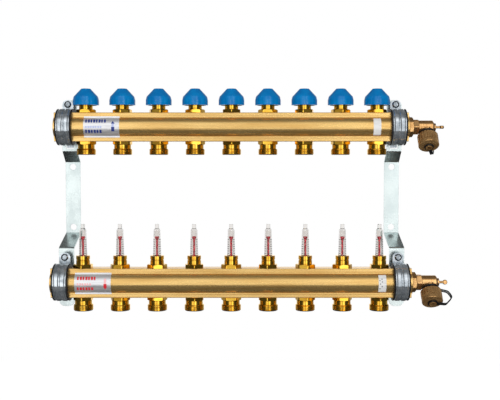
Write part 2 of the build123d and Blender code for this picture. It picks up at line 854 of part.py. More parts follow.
# Drain cocks
drains = [
    ("return", at_return, return_outlet_tilt, return_strap_turn, 0.0),
    ("supply", at_supply, supply_outlet_tilt, supply_strap_turn, 90.0),
]
for name, seat, tilt, strap_turn, quarter in drains:
    nozzle_frame = tilted(tilt)
    save(f"{name}_end_plug", seat * end_plug())
    save(f"{name}_drain_body", seat * drain_body(tilt))
    save(f"{name}_drain_stem", seat * drain_stem(tilt, quarter))
    save(f"{name}_drain_cap", seat * (nozzle_frame * drain_cap()))
    save(f"{name}_drain_gasket", seat * (nozzle_frame * gasket()))
    save(f"{name}_drain_strap", seat * (nozzle_frame * strap(strap_turn)))
save("drain_glands", at_return * gland(), at_supply * gland())
save("drain_seals", at_return * drain_seal(), at_supply * drain_seal())

# Labels
return_label_x = return_label_inset - bar_half_length
supply_label_x = supply_label_inset - bar_half_length
return_sticker_x = bar_half_length - return_sticker_inset
supply_sticker_x = bar_half_length - supply_sticker_inset
save("return_label", at_return * front_film(return_label_x, label_length, label_half_height))
save("supply_label", at_supply * front_film(supply_label_x, label_length, label_half_height))
save(
    "bar_stickers",
    at_return * front_film(return_sticker_x, sticker_length, sticker_half_height),
    at_supply * front_film(supply_sticker_x, sticker_length, sticker_half_height),
)
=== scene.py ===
"""A floor-heating manifold, dressed around its fixed frame.

Metres, +Z up, the front is -Y. Every piece is built where the frame holds it. Fittings are drawn
about their bar's own axis, so a height of zero is the middle of the bar.
"""

import logging
import math
from collections.abc import Callable, Iterable, Sequence
from dataclasses import dataclass
from enum import Enum, IntEnum

import bmesh
import bpy
from mathutils import Matrix, Vector

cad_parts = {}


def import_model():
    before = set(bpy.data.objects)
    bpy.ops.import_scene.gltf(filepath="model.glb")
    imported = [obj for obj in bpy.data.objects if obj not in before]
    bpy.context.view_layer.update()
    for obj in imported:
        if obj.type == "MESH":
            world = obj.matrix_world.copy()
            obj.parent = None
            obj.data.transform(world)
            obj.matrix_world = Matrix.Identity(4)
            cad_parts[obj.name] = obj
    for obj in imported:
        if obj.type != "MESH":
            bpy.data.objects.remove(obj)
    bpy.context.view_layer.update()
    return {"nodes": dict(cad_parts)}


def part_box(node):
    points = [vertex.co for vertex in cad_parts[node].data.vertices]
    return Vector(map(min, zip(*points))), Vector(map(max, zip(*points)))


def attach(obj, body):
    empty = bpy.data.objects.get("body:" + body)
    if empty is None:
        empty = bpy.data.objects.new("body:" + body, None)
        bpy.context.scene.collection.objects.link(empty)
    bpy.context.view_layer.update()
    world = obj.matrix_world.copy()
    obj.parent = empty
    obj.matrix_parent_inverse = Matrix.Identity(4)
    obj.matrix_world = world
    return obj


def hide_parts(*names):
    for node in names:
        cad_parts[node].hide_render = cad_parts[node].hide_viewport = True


MM = 0.001
LOG = logging.getLogger("manifold")

Point = tuple[float, float]
Corner = Sequence[float]
Colour = tuple[float, float, float]
Reach = Callable[[float, float, float], float]

ALONG_X = Matrix.Rotation(math.radians(90), 4, "Y")
UP_TO_FRONT = Matrix.Rotation(math.radians(90), 4, "X")
UP_TO_BACK = Matrix.Rotation(math.radians(-90), 4, "X")

WELD = 0.0005 * MM
SLACK = 0.01 * MM
LEAST_RADIUS = 0.001 * MM
ROUNDING_STEP = math.radians(18)
LEAST_TURN = math.radians(1)
LARGEST_CUT = 0.49
THREAD_ROWS = 6
CORE_SHARE = 0.9
HEX_BLUNT = 0.985
HEX_CHAMFER = math.radians(30)
CHAMFER_STEPS = 4
BEVEL_ANGLE = math.radians(40)
SHARP_ANGLE = math.radians(38)
TIGHTENING = math.radians(23)


class Steps(IntEnum):
    """How many steps make a full turn, by what is turned."""

    TAPPED_HOLE = 24
    DRILL = 32
    SMALL_PART = 40
    BORE = 48
    PART = 64
    WIDE_BORE = 72
    CIRCUIT_FITTING = 90
    WIDE_PART = 96
    HAND_CAP = 144
    RIBBED_CAP = 200


def srgb(red: int, green: int, blue: int) -> Colour:
    """A colour as a screen shows it, turned into light values.

    Args:
        red: Red, 0 to 255.
        green: Green, 0 to 255.
        blue: Blue, 0 to 255.

    Returns:
        The three linear values.
    """
    scaled = [channel / 255 for channel in (red, green, blue)]
    return tuple(c / 12.92 if c <= 0.04045 else ((c + 0.055) / 1.055) ** 2.4 for c in scaled)


class Wire:
    """A node's output that takes part in Python arithmetic."""

    def __init__(self, graph: "Graph", socket: bpy.types.NodeSocket) -> None:
        """Keep the socket and the graph that new nodes go to."""
        self.graph = graph
        self.socket = socket

    def __add__(self, other: "Wire | float") -> "Wire":
        """This plus other."""
        return self.graph.maths("ADD", self, other)

    __radd__ = __add__

    def __sub__(self, other: "Wire | float") -> "Wire":
        """This minus other."""
        return self.graph.maths("SUBTRACT", self, other)

    def __rsub__(self, other: float) -> "Wire":
        """Other minus this."""
        return self.graph.maths("SUBTRACT", other, self)

    def __mul__(self, other: "Wire | float") -> "Wire":
        """This times other."""
        return self.graph.maths("MULTIPLY", self, other)

    __rmul__ = __mul__

    def __truediv__(self, other: "Wire | float") -> "Wire":
        """This divided by other."""
        return self.graph.maths("DIVIDE", self, other)

    def __gt__(self, other: "Wire | float") -> "Wire":
        """One where this is above other, else zero."""
        return self.graph.maths("GREATER_THAN", self, other)

    def __lt__(self, other: "Wire | float") -> "Wire":
        """One where this is below other, else zero."""
        return self.graph.maths("LESS_THAN", self, other)


class Graph:
    """A node tree that is written as expressions."""

    def __init__(self, tree: bpy.types.NodeTree) -> None:
        """Keep the tree that new nodes go to."""
        self.tree = tree

    def node(self, kind: str, settings: dict | None = None, inputs: dict | None = None) -> bpy.types.Node:
        """Add a node.

        Args:
            kind: The node's type.
            settings: Its own properties, set first.
            inputs: A value or a wire for each named or numbered socket.

        Returns:
            The new node.
        """
        made = self.tree.nodes.new(kind)
        for name, value in (settings or {}).items():
            setattr(made, name, value)
        for key, value in (inputs or {}).items():
            self.feed(made, key, value)
        return made

    def feed(self, node: bpy.types.Node, key: str | int, value: object) -> None:
        """Give a node's socket a value or a link."""
        socket = node.inputs[key]
        if isinstance(value, Wire):
            self.tree.links.new(value.socket, socket)
        elif socket.type == "RGBA":
            socket.default_value = (*value, 1.0)
        else:
            socket.default_value = value

    def wire(
        self, kind: str, settings: dict | None = None, inputs: dict | None = None, out: str | int = 0
    ) -> Wire:
        """Add a node and return one of its outputs."""
        return Wire(self, self.node(kind, settings, inputs).outputs[out])

    def maths(self, operation: str, *values: "Wire | float") -> Wire:
        """Work out one operation on numbers."""
        return self.wire("ShaderNodeMath", {"operation": operation}, dict(enumerate(values)))

    def vector(self, operation: str, *values: object) -> Wire:
        """Work out one operation on vectors."""
        return self.wire("ShaderNodeVectorMath", {"operation": operation}, dict(enumerate(values)))

    def parts(self, vector: Wire) -> tuple[Wire, Wire, Wire]:
        """Split a vector into its x, y and z."""
        node = self.node("ShaderNodeSeparateXYZ", inputs={0: vector})
        return tuple(Wire(self, output) for output in node.outputs)

    def ramp(self, value: Wire, low: float, high: float) -> Wire:
        """Rise smoothly from zero at low to one at high."""
        settings = {"interpolation_type": "SMOOTHSTEP"}
        return self.wire("ShaderNodeMapRange", settings, {"Value": value, "From Min": low, "From Max": high})


class Paint(Graph):
    """A material's nodes around one Principled shader."""

    def __init__(self, name: str) -> None:
        """Start an empty material of that name."""
        self.material = bpy.data.materials.new(name)
        self.material.use_nodes = True
        super().__init__(self.material.node_tree)
        self.tree.nodes.clear()
        self.shader = self.node("ShaderNodeBsdfPrincipled")
        output = self.node("ShaderNodeOutputMaterial")
        self.tree.links.new(self.shader.outputs[0], output.inputs["Surface"])
        self.spot = self.wire("ShaderNodeTexCoord", out="Object")

    def set(self, **sockets: object) -> None:
        """Give the shader's sockets their values; Base_Color stands for Base Color."""
        for name, value in sockets.items():
            self.feed(self.shader, name.replace("_", " "), value)

    def noise(self, grain: tuple[float, float, float], detail: float = 3.0, start: float = 0.0) -> Wire:
        """Soft noise from zero to one.

        Args:
            grain: How many blotches a metre along x, y and z.
            detail: How many finer layers it has.
            start: Where in the noise it begins.

        Returns:
            The noise.
        """
        moved = self.vector("ADD", self.vector("MULTIPLY", self.spot, grain), (start, start, start))
        return self.wire("ShaderNodeTexNoise", None, {"Vector": moved, "Scale": 1.0, "Detail": detail})

    def blend(self, factor: "Wire | float", first: "Wire | Colour", second: "Wire | Colour") -> Wire:
        """Blend two colours."""
        return self.wire("ShaderNodeMix", {"data_type": "RGBA"}, {0: factor, 6: first, 7: second}, 2)

    def relief(self, height: Wire, depth: float) -> None:
        """Let a height pattern of that depth in metres stand out from the surface."""
        bump = self.wire("ShaderNodeBump", None, {"Height": height, "Distance": depth, "Strength": 1.0})
        self.feed(self.shader, "Normal", bump)


class Grain(Enum):
    """How a metal's marks run, as blotches a metre along x, y and z."""

    DRAWN = (9.0, 900.0, 900.0)
    TURNED_Z = (60.0, 60.0, 2600.0)
    TURNED_X = (2600.0, 60.0, 60.0)
    ROLLED = (500.0, 40.0, 40.0)
    CAST = (900.0, 900.0, 900.0)


@dataclass(frozen=True)
class Metal:
    """A metal with marks along its grain and a slow change of tone."""

    name: str
    light: Colour
    dark: Colour
    grain: Grain
    rough: tuple[float, float] = (0.2, 0.35)
    depth: float = 0.01 * MM
    mottle: tuple[float, float, float] = (60.0, 160.0, 160.0)
    metallic: float = 1.0
    marks_share: float = 0.45
    spread: Point = (0.34, 0.66)

    def build(self) -> bpy.types.Material:
        """Make the material."""
        paint = Paint(self.name)
        marks = paint.noise(self.grain.value, detail=4.0)
        tone = paint.noise(self.mottle, detail=2.0, start=7.0)
        wear = paint.ramp(marks * self.marks_share + tone * (1.0 - self.marks_share), *self.spread)
        paint.set(
            Base_Color=paint.blend(wear, self.dark, self.light),
            Roughness=self.rough[1] - wear * (self.rough[1] - self.rough[0]),
            Metallic=self.metallic,
        )
        paint.relief(marks, self.depth)
        return paint.material


@dataclass(frozen=True)
class Moulding:
    """A moulded plastic or rubber with a faint orange-peel skin."""

    name: str
    light: Colour
    dark: Colour
    rough: float = 0.25
    coat: float = 0.0
    depth: float = 0.01 * MM
    gloss: float = 0.5
    peel: float = 1400.0
    mottle: float = 90.0
    uneven: float = 0.08
    coat_rough: float = 0.08

    def build(self) -> bpy.types.Material:
        """Make the material."""
        paint = Paint(self.name)
        skin = paint.noise((self.peel,) * 3, detail=2.0)
        tone = paint.ramp(paint.noise((self.mottle,) * 3, detail=2.0, start=3.0), 0.3, 0.7)
        paint.set(
            Base_Color=paint.blend(tone, self.dark, self.light),
            Roughness=self.rough + (skin - 0.5) * self.uneven,
            Coat_Weight=self.coat,
            Coat_Roughness=self.coat_rough,
            Specular_IOR_Level=self.gloss,
        )
        paint.relief(skin, self.depth)
        return paint.material


@dataclass(frozen=True)
class Clear:
    """A clear moulded tube with faint flow lines."""

    name: str
    tint: Colour
    rough: float = 0.03
    uneven: float = 0.02
    bending: float = 1.34
    flow: tuple[float, float, float] = (300.0, 300.0, 60.0)
    depth: float = 0.004 * MM

    def build(self) -> bpy.types.Material:
        """Make the material."""
        paint = Paint(self.name)
        lines = paint.noise(self.flow, detail=1.0)
        paint.set(
            Base_Color=self.tint,
            Transmission_Weight=1.0,
            IOR=self.bending,
            Roughness=self.rough + lines * self.uneven,
        )
        paint.relief(lines, self.depth)
        return paint.material


@dataclass(frozen=True)
class Mark:
    """One printed field, in metres from the film's left edge and the bar's middle.

    It is a rectangle up from its left and base, or a triangle in that space that points up for a
    point of 1 and down for -1.
    """

    left: float
    base: float
    width: float
    height: float
    ink: Colour
    point: int = 0


@dataclass(frozen=True)
class Film:
    """A printed film, with plain bars and an arrow or with plain spots."""

    name: str
    left: float
    middle: float
    light: Colour
    dark: Colour
    metallic: float
    rough: float
    marks: tuple[Mark, ...]
    brushing: tuple[float, float, float] = (40.0, 900.0, 900.0)
    uneven: float = 0.1
    depth: float = 0.004 * MM

    def build(self) -> bpy.types.Material:
        """Make the material."""
        paint = Paint(self.name)
        x, _, z = paint.parts(paint.spot)
        across = x - self.left
        up = z - self.middle
        brushed = paint.noise(self.brushing)
        colour = paint.blend(paint.ramp(brushed, 0.3, 0.7), self.dark, self.light)
        printed = None
        for mark in self.marks:
            field = (up > mark.base) * (up < mark.base + mark.height)
            if mark.point:
                tip = mark.base + (mark.height if mark.point > 0 else 0.0)
                reach = (tip - up) * (mark.point * mark.width / (2 * mark.height))
                field = field * (paint.maths("ABSOLUTE", across - (mark.left + mark.width / 2)) < reach)
            else:
                field = field * (across > mark.left) * (across < mark.left + mark.width)
            colour = paint.blend(field, colour, mark.ink)
            printed = field if printed is None else paint.maths("MAXIMUM", printed, field)
        paint.set(
            Base_Color=colour,
            Metallic=self.metallic - printed * self.metallic,
            Roughness=self.rough + (brushed - 0.5) * self.uneven,
        )
        paint.relief(brushed, self.depth)
        return paint.material


def add_object(name: str, mesh: bpy.types.Mesh) -> bpy.types.Object:
    """Put a mesh into the scene as an object."""
    made = bpy.data.objects.new(name, mesh)
    bpy.context.scene.collection.objects.link(made)
    return made


def from_faces(
    name: str, points: Sequence[Sequence[float]], faces: Sequence[Sequence[int]]
) -> bpy.types.Object:
    """Make an object from points and faces, with the faces turned outwards.

    Args:
        name: The object's name.
        points: The places of its vertices.
        faces: The vertex numbers of each face.

    Returns:
        The new object.
    """
    mesh = bpy.data.meshes.new(name)
    mesh.from_pydata(points, [], faces)
    form = bmesh.new()
    form.from_mesh(mesh)
    bmesh.ops.remove_doubles(form, verts=form.verts, dist=WELD)
    bmesh.ops.recalc_face_normals(form, faces=form.faces)
    form.to_mesh(mesh)
    form.free()
    return add_object(name, mesh)


def rounded(corners: Sequence[Corner], radius: float = 0.25 * MM, closed: bool = True) -> list[Point]:
    """Round an outline's corners.

    Args:
        corners: The corners as (a, b), or (a, b, radius) where one has its own radius.
        radius: The radius of the others.
        closed: Whether the outline closes on itself; an open one keeps its two ends.

    Returns:
        The outline's points.
    """
    points: list[Point] = []
    for i, corner in enumerate(corners):
        here = Vector(corner[:2])
        size = corner[2] if len(corner) > 2 else radius
        if size == 0 or (not closed and i in (0, len(corners) - 1)):
            points.append(tuple(here))
            continue
        back = Vector(corners[i - 1][:2]) - here
        ahead = Vector(corners[(i + 1) % len(corners)][:2]) - here
        turn = math.pi - back.angle(ahead, math.pi)
        if turn < LEAST_TURN:
            points.append(tuple(here))
            continue
        cut = min(size * math.tan(turn / 2), LARGEST_CUT * min(back.length, ahead.length))
        size = cut / math.tan(turn / 2)
        middle = (back.normalized() + ahead.normalized()).normalized()
        centre = here + middle * (size / math.cos(turn / 2))
        arm = here + back.normalized() * cut - centre
        way = math.copysign(turn, -back.cross(ahead))
        count = max(2, math.ceil(turn / ROUNDING_STEP))
        for k in range(count + 1):
            points.append(tuple(centre + Matrix.Rotation(way * k / count, 2) @ arm))
    return points


def ladder(radius: float, low: float, high: float, step: float) -> list[Corner]:
    """Evenly spaced points up a straight wall, for a thread to move; its corners stay sharp."""
    count = max(1, round(abs(high - low) / step))
    return [(radius, low + (high - low) * k / count, 0.0) for k in range(count + 1)]


def shifted(path: Sequence[Point], distance: float) -> list[Point]:
    """Move an open path sideways to its left, with mitred corners.

    Args:
        path: The path's points.
        distance: How far to the left it goes.

    Returns:
        The moved points.
    """
    points = [Vector(p) for p in path]
    sides = [Vector((a.y - b.y, b.x - a.x)).normalized() for a, b in zip(points, points[1:])]
    moved = []
    for i, point in enumerate(points):
        before, after = sides[max(i - 1, 0)], sides[min(i, len(sides) - 1)]
        middle = (before + after).normalized()
        moved.append(tuple(point + middle * (distance / middle.dot(before))))
    return moved


def lathe(
    name: str, profile: Sequence[Point], segments: int, reach: Reach | None = None
) -> bpy.types.Object:
    """Turn a profile about Z.

    Args:
        name: The object's name.
        profile: (radius, height) points. From axis to axis they make a solid, else a ring.
        segments: How many steps make a full turn.
        reach: Gives another radius at an angle, radius and height.

    Returns:
        The turned object.
    """
    solid = profile[0][0] == 0 and profile[-1][0] == 0
    ring = profile[1:-1] if solid else profile
    rows = len(ring)
    points, faces = [], []
    for k in range(segments):
        angle = math.tau * k / segments
        for radius, height in ring:
            arm = reach(angle, radius, height) if reach else radius
            points.append((arm * math.cos(angle), arm * math.sin(angle), height))
    for k in range(segments):
        here, there = k * rows, (k + 1) % segments * rows
        for j in range(rows - 1 if solid else rows):
            i = (j + 1) % rows
            faces.append((here + j, there + j, there + i, here + i))
        if solid:
            faces.append((rows * segments, here, there))
            faces.append((rows * segments + 1, here + rows - 1, there + rows - 1))
    if solid:
        points += [(0, 0, profile[0][1]), (0, 0, profile[-1][1])]
    return from_faces(name, points, faces)


def turned_arc(name: str, profile: Sequence[Point], start: float, end: float, steps: int) -> bpy.types.Object:
    """Turn a closed profile of (x, radius) points part of the way about X, from +Y towards +Z."""
    rows = len(profile)
    points, faces = [], []
    for k in range(steps + 1):
        angle = start + (end - start) * k / steps
        points += [(x, r * math.cos(angle), r * math.sin(angle)) for x, r in profile]
    for k in range(steps):
        for j in range(rows):
            i = (j + 1) % rows
            faces.append((k * rows + j, k * rows + i, (k + 1) * rows + i, (k + 1) * rows + j))
    faces += [tuple(range(rows)), tuple(range(steps * rows, (steps + 1) * rows))]
    return from_faces(name, points, faces)


def extruded(name: str, outline: Sequence[Point], low: float, high: float, axis: str) -> bpy.types.Object:
    """Draw an outline out along an axis.

    Args:
        name: The object's name.
        outline: Its points in the other two axes, in the order x, y, z.
        low: Where it starts on the axis.
        high: Where it ends.
        axis: "x", "y" or "z".

    Returns:
        The object.
    """
    place = "xyz".index(axis)
    count = len(outline)
    points = []
    for level in (low, high):
        for a, b in outline:
            point = [a, b]
            point.insert(place, level)
            points.append(point)
    faces = [(k, (k + 1) % count, (k + 1) % count + count, k + count) for k in range(count)]
    faces += [tuple(range(count)), tuple(range(count, 2 * count))]
    return from_faces(name, points, faces)


def moved(piece: bpy.types.Object, place: Matrix | Vector) -> bpy.types.Object:
    """Move a piece's mesh, not its object."""
    piece.data.transform(place if isinstance(place, Matrix) else Matrix.Translation(place))
    return piece


def joined(name: str, pieces: Iterable[bpy.types.Object]) -> bpy.types.Object:
    """Put several pieces into one mesh, each still a shell of its own."""
    form = bmesh.new()
    for piece in pieces:
        form.from_mesh(piece.data)
        bpy.data.objects.remove(piece)
    mesh = bpy.data.meshes.new(name)
    form.to_mesh(mesh)
    form.free()
    return add_object(name, mesh)


def settled(piece: bpy.types.Object) -> bpy.types.Object:
    """Turn what a piece's modifiers make into its plain mesh."""
    graph = bpy.context.evaluated_depsgraph_get()
    mesh = bpy.data.meshes.new_from_object(piece.evaluated_get(graph), depsgraph=graph)
    piece.modifiers.clear()
    piece.data = mesh
    return piece


def combined(piece: bpy.types.Object, tool: bpy.types.Object, operation: str) -> bpy.types.Object:
    """Add, cut or intersect a piece with a tool, which is used up."""
    modifier = piece.modifiers.new(operation, "BOOLEAN")
    modifier.operation = operation
    modifier.solver = "EXACT"
    modifier.object = tool
    settled(piece)
    bpy.data.objects.remove(tool)
    return piece


def rod(radius: float, low: float, high: float, segments: int = Steps.BORE) -> bpy.types.Object:
    """A plain round cutter about Z."""
    return lathe("rod", [(0, low), (radius, low), (radius, high), (0, high)], segments)


def block(low: Corner, high: Corner) -> bpy.types.Object:
    """A plain square cutter between two corners."""
    outline = [(low[0], low[1]), (high[0], low[1]), (high[0], high[1]), (low[0], high[1])]
    return extruded("block", outline, low[2], high[2], "z")


def hexagon(across_flats: float, low: float, high: float) -> Reach:
    """Flats for a turned profile between two heights, with a corner at angle zero.

    Args:
        across_flats: The hexagon's width.
        low: Where the flats start.
        high: Where they end.

    Returns:
        The function that gives the radius.
    """
    def reach(angle: float, radius: float, height: float) -> float:
        """The radius that the flats leave."""
        if not low - SLACK <= height <= high + SLACK:
            return radius
        turn = (angle + math.pi / 6) % (math.pi / 3) - math.pi / 6
        flat = across_flats / 2 / math.cos(math.pi / 6 - abs(turn))
        return min(radius, flat, HEX_BLUNT * across_flats / math.sqrt(3))

    return reach


def hex_rise(across_flats: float, low: float, high: float, chamfers: tuple[bool, bool]) -> list[Corner]:
    """Profile points of a hexagon's outside.

    Args:
        across_flats: The hexagon's width.
        low: Where it starts.
        high: Where it ends.
        chamfers: Whether its low and its high end have a turned chamfer.

    Returns:
        The points from low to high; their corners stay sharp.
    """
    flat = across_flats / 2
    corner = across_flats / math.sqrt(3)
    depth = (corner - flat) * math.tan(HEX_CHAMFER)
    rise = []
    for k in range(CHAMFER_STEPS + 1):
        rise.append((flat + (corner - flat) * k / CHAMFER_STEPS, depth * k / CHAMFER_STEPS))
    foot, head = [(corner, low, 0.0)], [(corner, high, 0.0)]
    if chamfers[0]:
        foot = [(radius, low + drop, 0.0) for radius, drop in rise]
    if chamfers[1]:
        head = [(radius, high - drop, 0.0) for radius, drop in reversed(rise)]
    return foot + head


class Tree(Graph):
    """A geometry node tree with named inputs."""

    def __init__(self, name: str, sizes: dict[str, str]) -> None:
        """Start a tree.

        Args:
            name: The tree's name.
            sizes: Each input's name and socket type.
        """
        super().__init__(bpy.data.node_groups.new(name, "GeometryNodeTree"))
        face = self.tree.interface
        face.new_socket("Geometry", in_out="INPUT", socket_type="NodeSocketGeometry")
        for title, kind in {**sizes, "Material": "NodeSocketMaterial"}.items():
            face.new_socket(title, in_out="INPUT", socket_type=kind)
        face.new_socket("Geometry", in_out="OUTPUT", socket_type="NodeSocketGeometry")
        self.source = self.node("NodeGroupInput")
        self.end = self.node("NodeGroupOutput")

    def given(self, name: str) -> Wire:
        """One of the tree's inputs."""
        return Wire(self, self.source.outputs[name])

    def close(self, geometry: Wire) -> None:
        """End the tree with real geometry in its material."""
        real = self.wire("GeometryNodeRealizeInstances", None, {0: geometry})
        painted = {"Geometry": real, "Material": self.given("Material")}
        self.feed(self.end, 0, self.wire("GeometryNodeSetMaterial", None, painted))

    def grow(
        self, base: bpy.types.Object, material: bpy.types.Material, **values: object
    ) -> bpy.types.Object:
        """Run the tree on a piece.

        Args:
            base: The piece or the points that the tree starts from.
            material: What the result is made of.
            values: The tree's inputs, with underscores for spaces.

        Returns:
            The same object with its new plain mesh.
        """
        modifier = base.modifiers.new(self.tree.name, "NODES")
        modifier.node_group = self.tree
        given = {name.replace("_", " "): value for name, value in values.items()}
        given["Material"] = material
        for item in self.tree.interface.items_tree:
            if item.in_out == "INPUT" and item.name in given:
                modifier[item.identifier] = given[item.name]
        return settled(base)


class SeatTree(Tree):
    """Sets a fitting on every point, each one turned a little further than the last."""

    def __init__(self) -> None:
        """Build the tree."""
        super().__init__("Seated fittings", {
            "Fitting": "NodeSocketObject",
            "First turn": "NodeSocketFloat",
            "Turn per fitting": "NodeSocketFloat",
            "Turn axis": "NodeSocketVector",
        })
        fitting = self.wire("GeometryNodeObjectInfo", None, {"Object": self.given("Fitting")}, "Geometry")
        index = self.wire("GeometryNodeInputIndex")
        angle = self.given("First turn") + index * self.given("Turn per fitting")
        spin = {"Axis": self.given("Turn axis"), "Angle": angle}
        turn = self.wire("FunctionNodeAxisAngleToRotation", None, spin)
        seats = {"Points": self.given("Geometry"), "Instance": fitting, "Rotation": turn}
        self.close(self.wire("GeometryNodeInstanceOnPoints", None, seats))


class RoundTree(Tree):
    """A tree that moves the points of a turned piece in or out along their radius."""

    def __init__(self, name: str, sizes: dict[str, str]) -> None:
        """Start the tree with its range of heights."""
        super().__init__(name, {**sizes, "Low": "NodeSocketFloat", "High": "NodeSocketFloat"})
        self.place = self.wire("GeometryNodeInputPosition")
        x, y, self.height = self.parts(self.place)
        self.angle = self.maths("ARCTAN2", y, x)
        self.radius = self.maths("SQRT", x * x + y * y)

    def inside(self) -> Wire:
        """One between the two heights, else zero."""
        return (self.height > self.given("Low") - SLACK) * (self.height < self.given("High") + SLACK)

    def end_at(self, radius: Wire) -> None:
        """Move every point to that radius and end the tree."""
        stretch = radius / self.maths("MAXIMUM", self.radius, LEAST_RADIUS)
        flat = self.wire("ShaderNodeCombineXYZ", None, {0: stretch, 1: stretch, 2: 1.0})
        place = self.vector("MULTIPLY", self.place, flat)
        ready = {"Geometry": self.given("Geometry"), "Position": place}
        self.close(self.wire("GeometryNodeSetPosition", None, ready))


class ThreadTree(RoundTree):
    """Cuts a screw thread into a turned wall that has rows enough."""

    RUN_OUT = 1.2 * MM
    FLANK = (0.45, 0.95)

    def __init__(self) -> None:
        """Build the tree."""
        super().__init__("Screw thread", {
            "Pitch": "NodeSocketFloat",
            "Depth": "NodeSocketFloat",
            "Core": "NodeSocketFloat",
        })
        turns = self.height / self.given("Pitch") - self.angle / math.tau
        wave = self.maths("ABSOLUTE", self.maths("FRACT", turns) * 2.0 - 1.0)
        low = self.ramp(self.height - self.given("Low"), 0.0, self.RUN_OUT)
        high = self.ramp(self.given("High") - self.height, 0.0, self.RUN_OUT)
        wall = self.radius > self.given("Core")
        depth = self.ramp(wave, *self.FLANK) * low * high * wall * self.inside()
        self.end_at(self.radius - depth * self.given("Depth"))


class FluteTree(RoundTree):
    """Cuts round flutes into a turned wall, evenly all the way round."""

    def __init__(self) -> None:
        """Build the tree."""
        super().__init__("Flutes", {
            "Count": "NodeSocketFloat",
            "Flute radius": "NodeSocketFloat",
            "Flute centre": "NodeSocketFloat",
        })
        count = self.given("Count")
        share = self.maths("FRACT", self.angle / math.tau * count + 0.5) - 0.5
        turn = share * math.tau / count
        side = self.maths("SINE", turn) * self.given("Flute centre")
        ahead = self.maths("COSINE", turn) * self.given("Flute centre")
        size = self.given("Flute radius")
        rest = self.maths("MAXIMUM", size * size - side * side, 0.0)
        floor = ahead - self.maths("SQRT", rest)
        cut = (rest > 0.0) * self.inside()
        self.end_at(self.radius - self.maths("MAXIMUM", self.radius - floor, 0.0) * cut)


class TickTree(Tree):
    """Prints a scale of marks up a tapered glass, on its points along Z."""

    def __init__(self) -> None:
        """Build the tree."""
        super().__init__("Tick scale", {
            "Mark": "NodeSocketObject",
            "Foot": "NodeSocketFloat",
            "Foot radius": "NodeSocketFloat",
            "Head": "NodeSocketFloat",
            "Head radius": "NodeSocketFloat",
            "Ticks": "NodeSocketInt",
            "First": "NodeSocketFloat",
            "Pitch": "NodeSocketFloat",
        })
        start = self.wire("ShaderNodeCombineXYZ", None, {2: self.given("First")})
        step = self.wire("ShaderNodeCombineXYZ", None, {2: self.given("Pitch")})
        line = {"Count": self.given("Ticks"), "Start Location": start, "Offset": step}
        points = self.wire("GeometryNodeMeshLine", {"mode": "OFFSET"}, line)
        _, _, height = self.parts(self.wire("GeometryNodeInputPosition"))
        share = (height - self.given("Foot")) / (self.given("Head") - self.given("Foot"))
        radius = self.given("Foot radius") + share * (self.given("Head radius") - self.given("Foot radius"))
        size = self.wire("ShaderNodeCombineXYZ", None, {0: radius, 1: radius, 2: 1.0})
        mark = self.wire("GeometryNodeObjectInfo", None, {"Object": self.given("Mark")}, "Geometry")
        ready = {"Points": points, "Instance": mark, "Scale": size}
        self.close(self.wire("GeometryNodeInstanceOnPoints", None, ready))


class Layout:
    """Where the frame holds the bars, the circuits and the clamps."""

    def __init__(self, nodes: Iterable[str]) -> None:
        """Read the places from the frame's nodes."""
        low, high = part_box("return_bar")
        self.half_length = (high.x - low.x) / 2
        self.axis = {"return": self.middle("return_bar"), "supply": self.middle("supply_bar")}
        self.circuits = sum(name.startswith("cap_") for name in nodes)
        self.circuit_x = [self.middle(f"cap_{i + 1}").x for i in range(self.circuits)]
        self.clamp_x = self.middle("right_bracket").x

    @staticmethod
    def middle(node: str) -> Vector:
        """The middle of a node's box."""
        low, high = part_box(node)
        return (low + high) / 2

    def circuit(self, bar: str, index: int) -> Vector:
        """Where a circuit crosses a bar's axis."""
        return self.axis[bar] + Vector((self.circuit_x[index], 0, 0))

    def seats(self, places: Iterable[Vector]) -> bpy.types.Object:
        """Loose points for the trees to set fittings on."""
        return from_faces("seats", [tuple(place) for place in places], [])

    def circuit_seats(self, bar: str) -> bpy.types.Object:
        """A point on the bar's axis for each circuit."""
        return self.seats(self.circuit(bar, i) for i in range(self.circuits))

    def clamps(self) -> dict[str, Vector]:
        """The four clamps' centres by their names."""
        return {
            f"{bar}_{side}": self.axis[bar] + Vector((way * self.clamp_x, 0, 0))
            for bar in ("return", "supply")
            for side, way in (("left", -1), ("right", 1))
        }


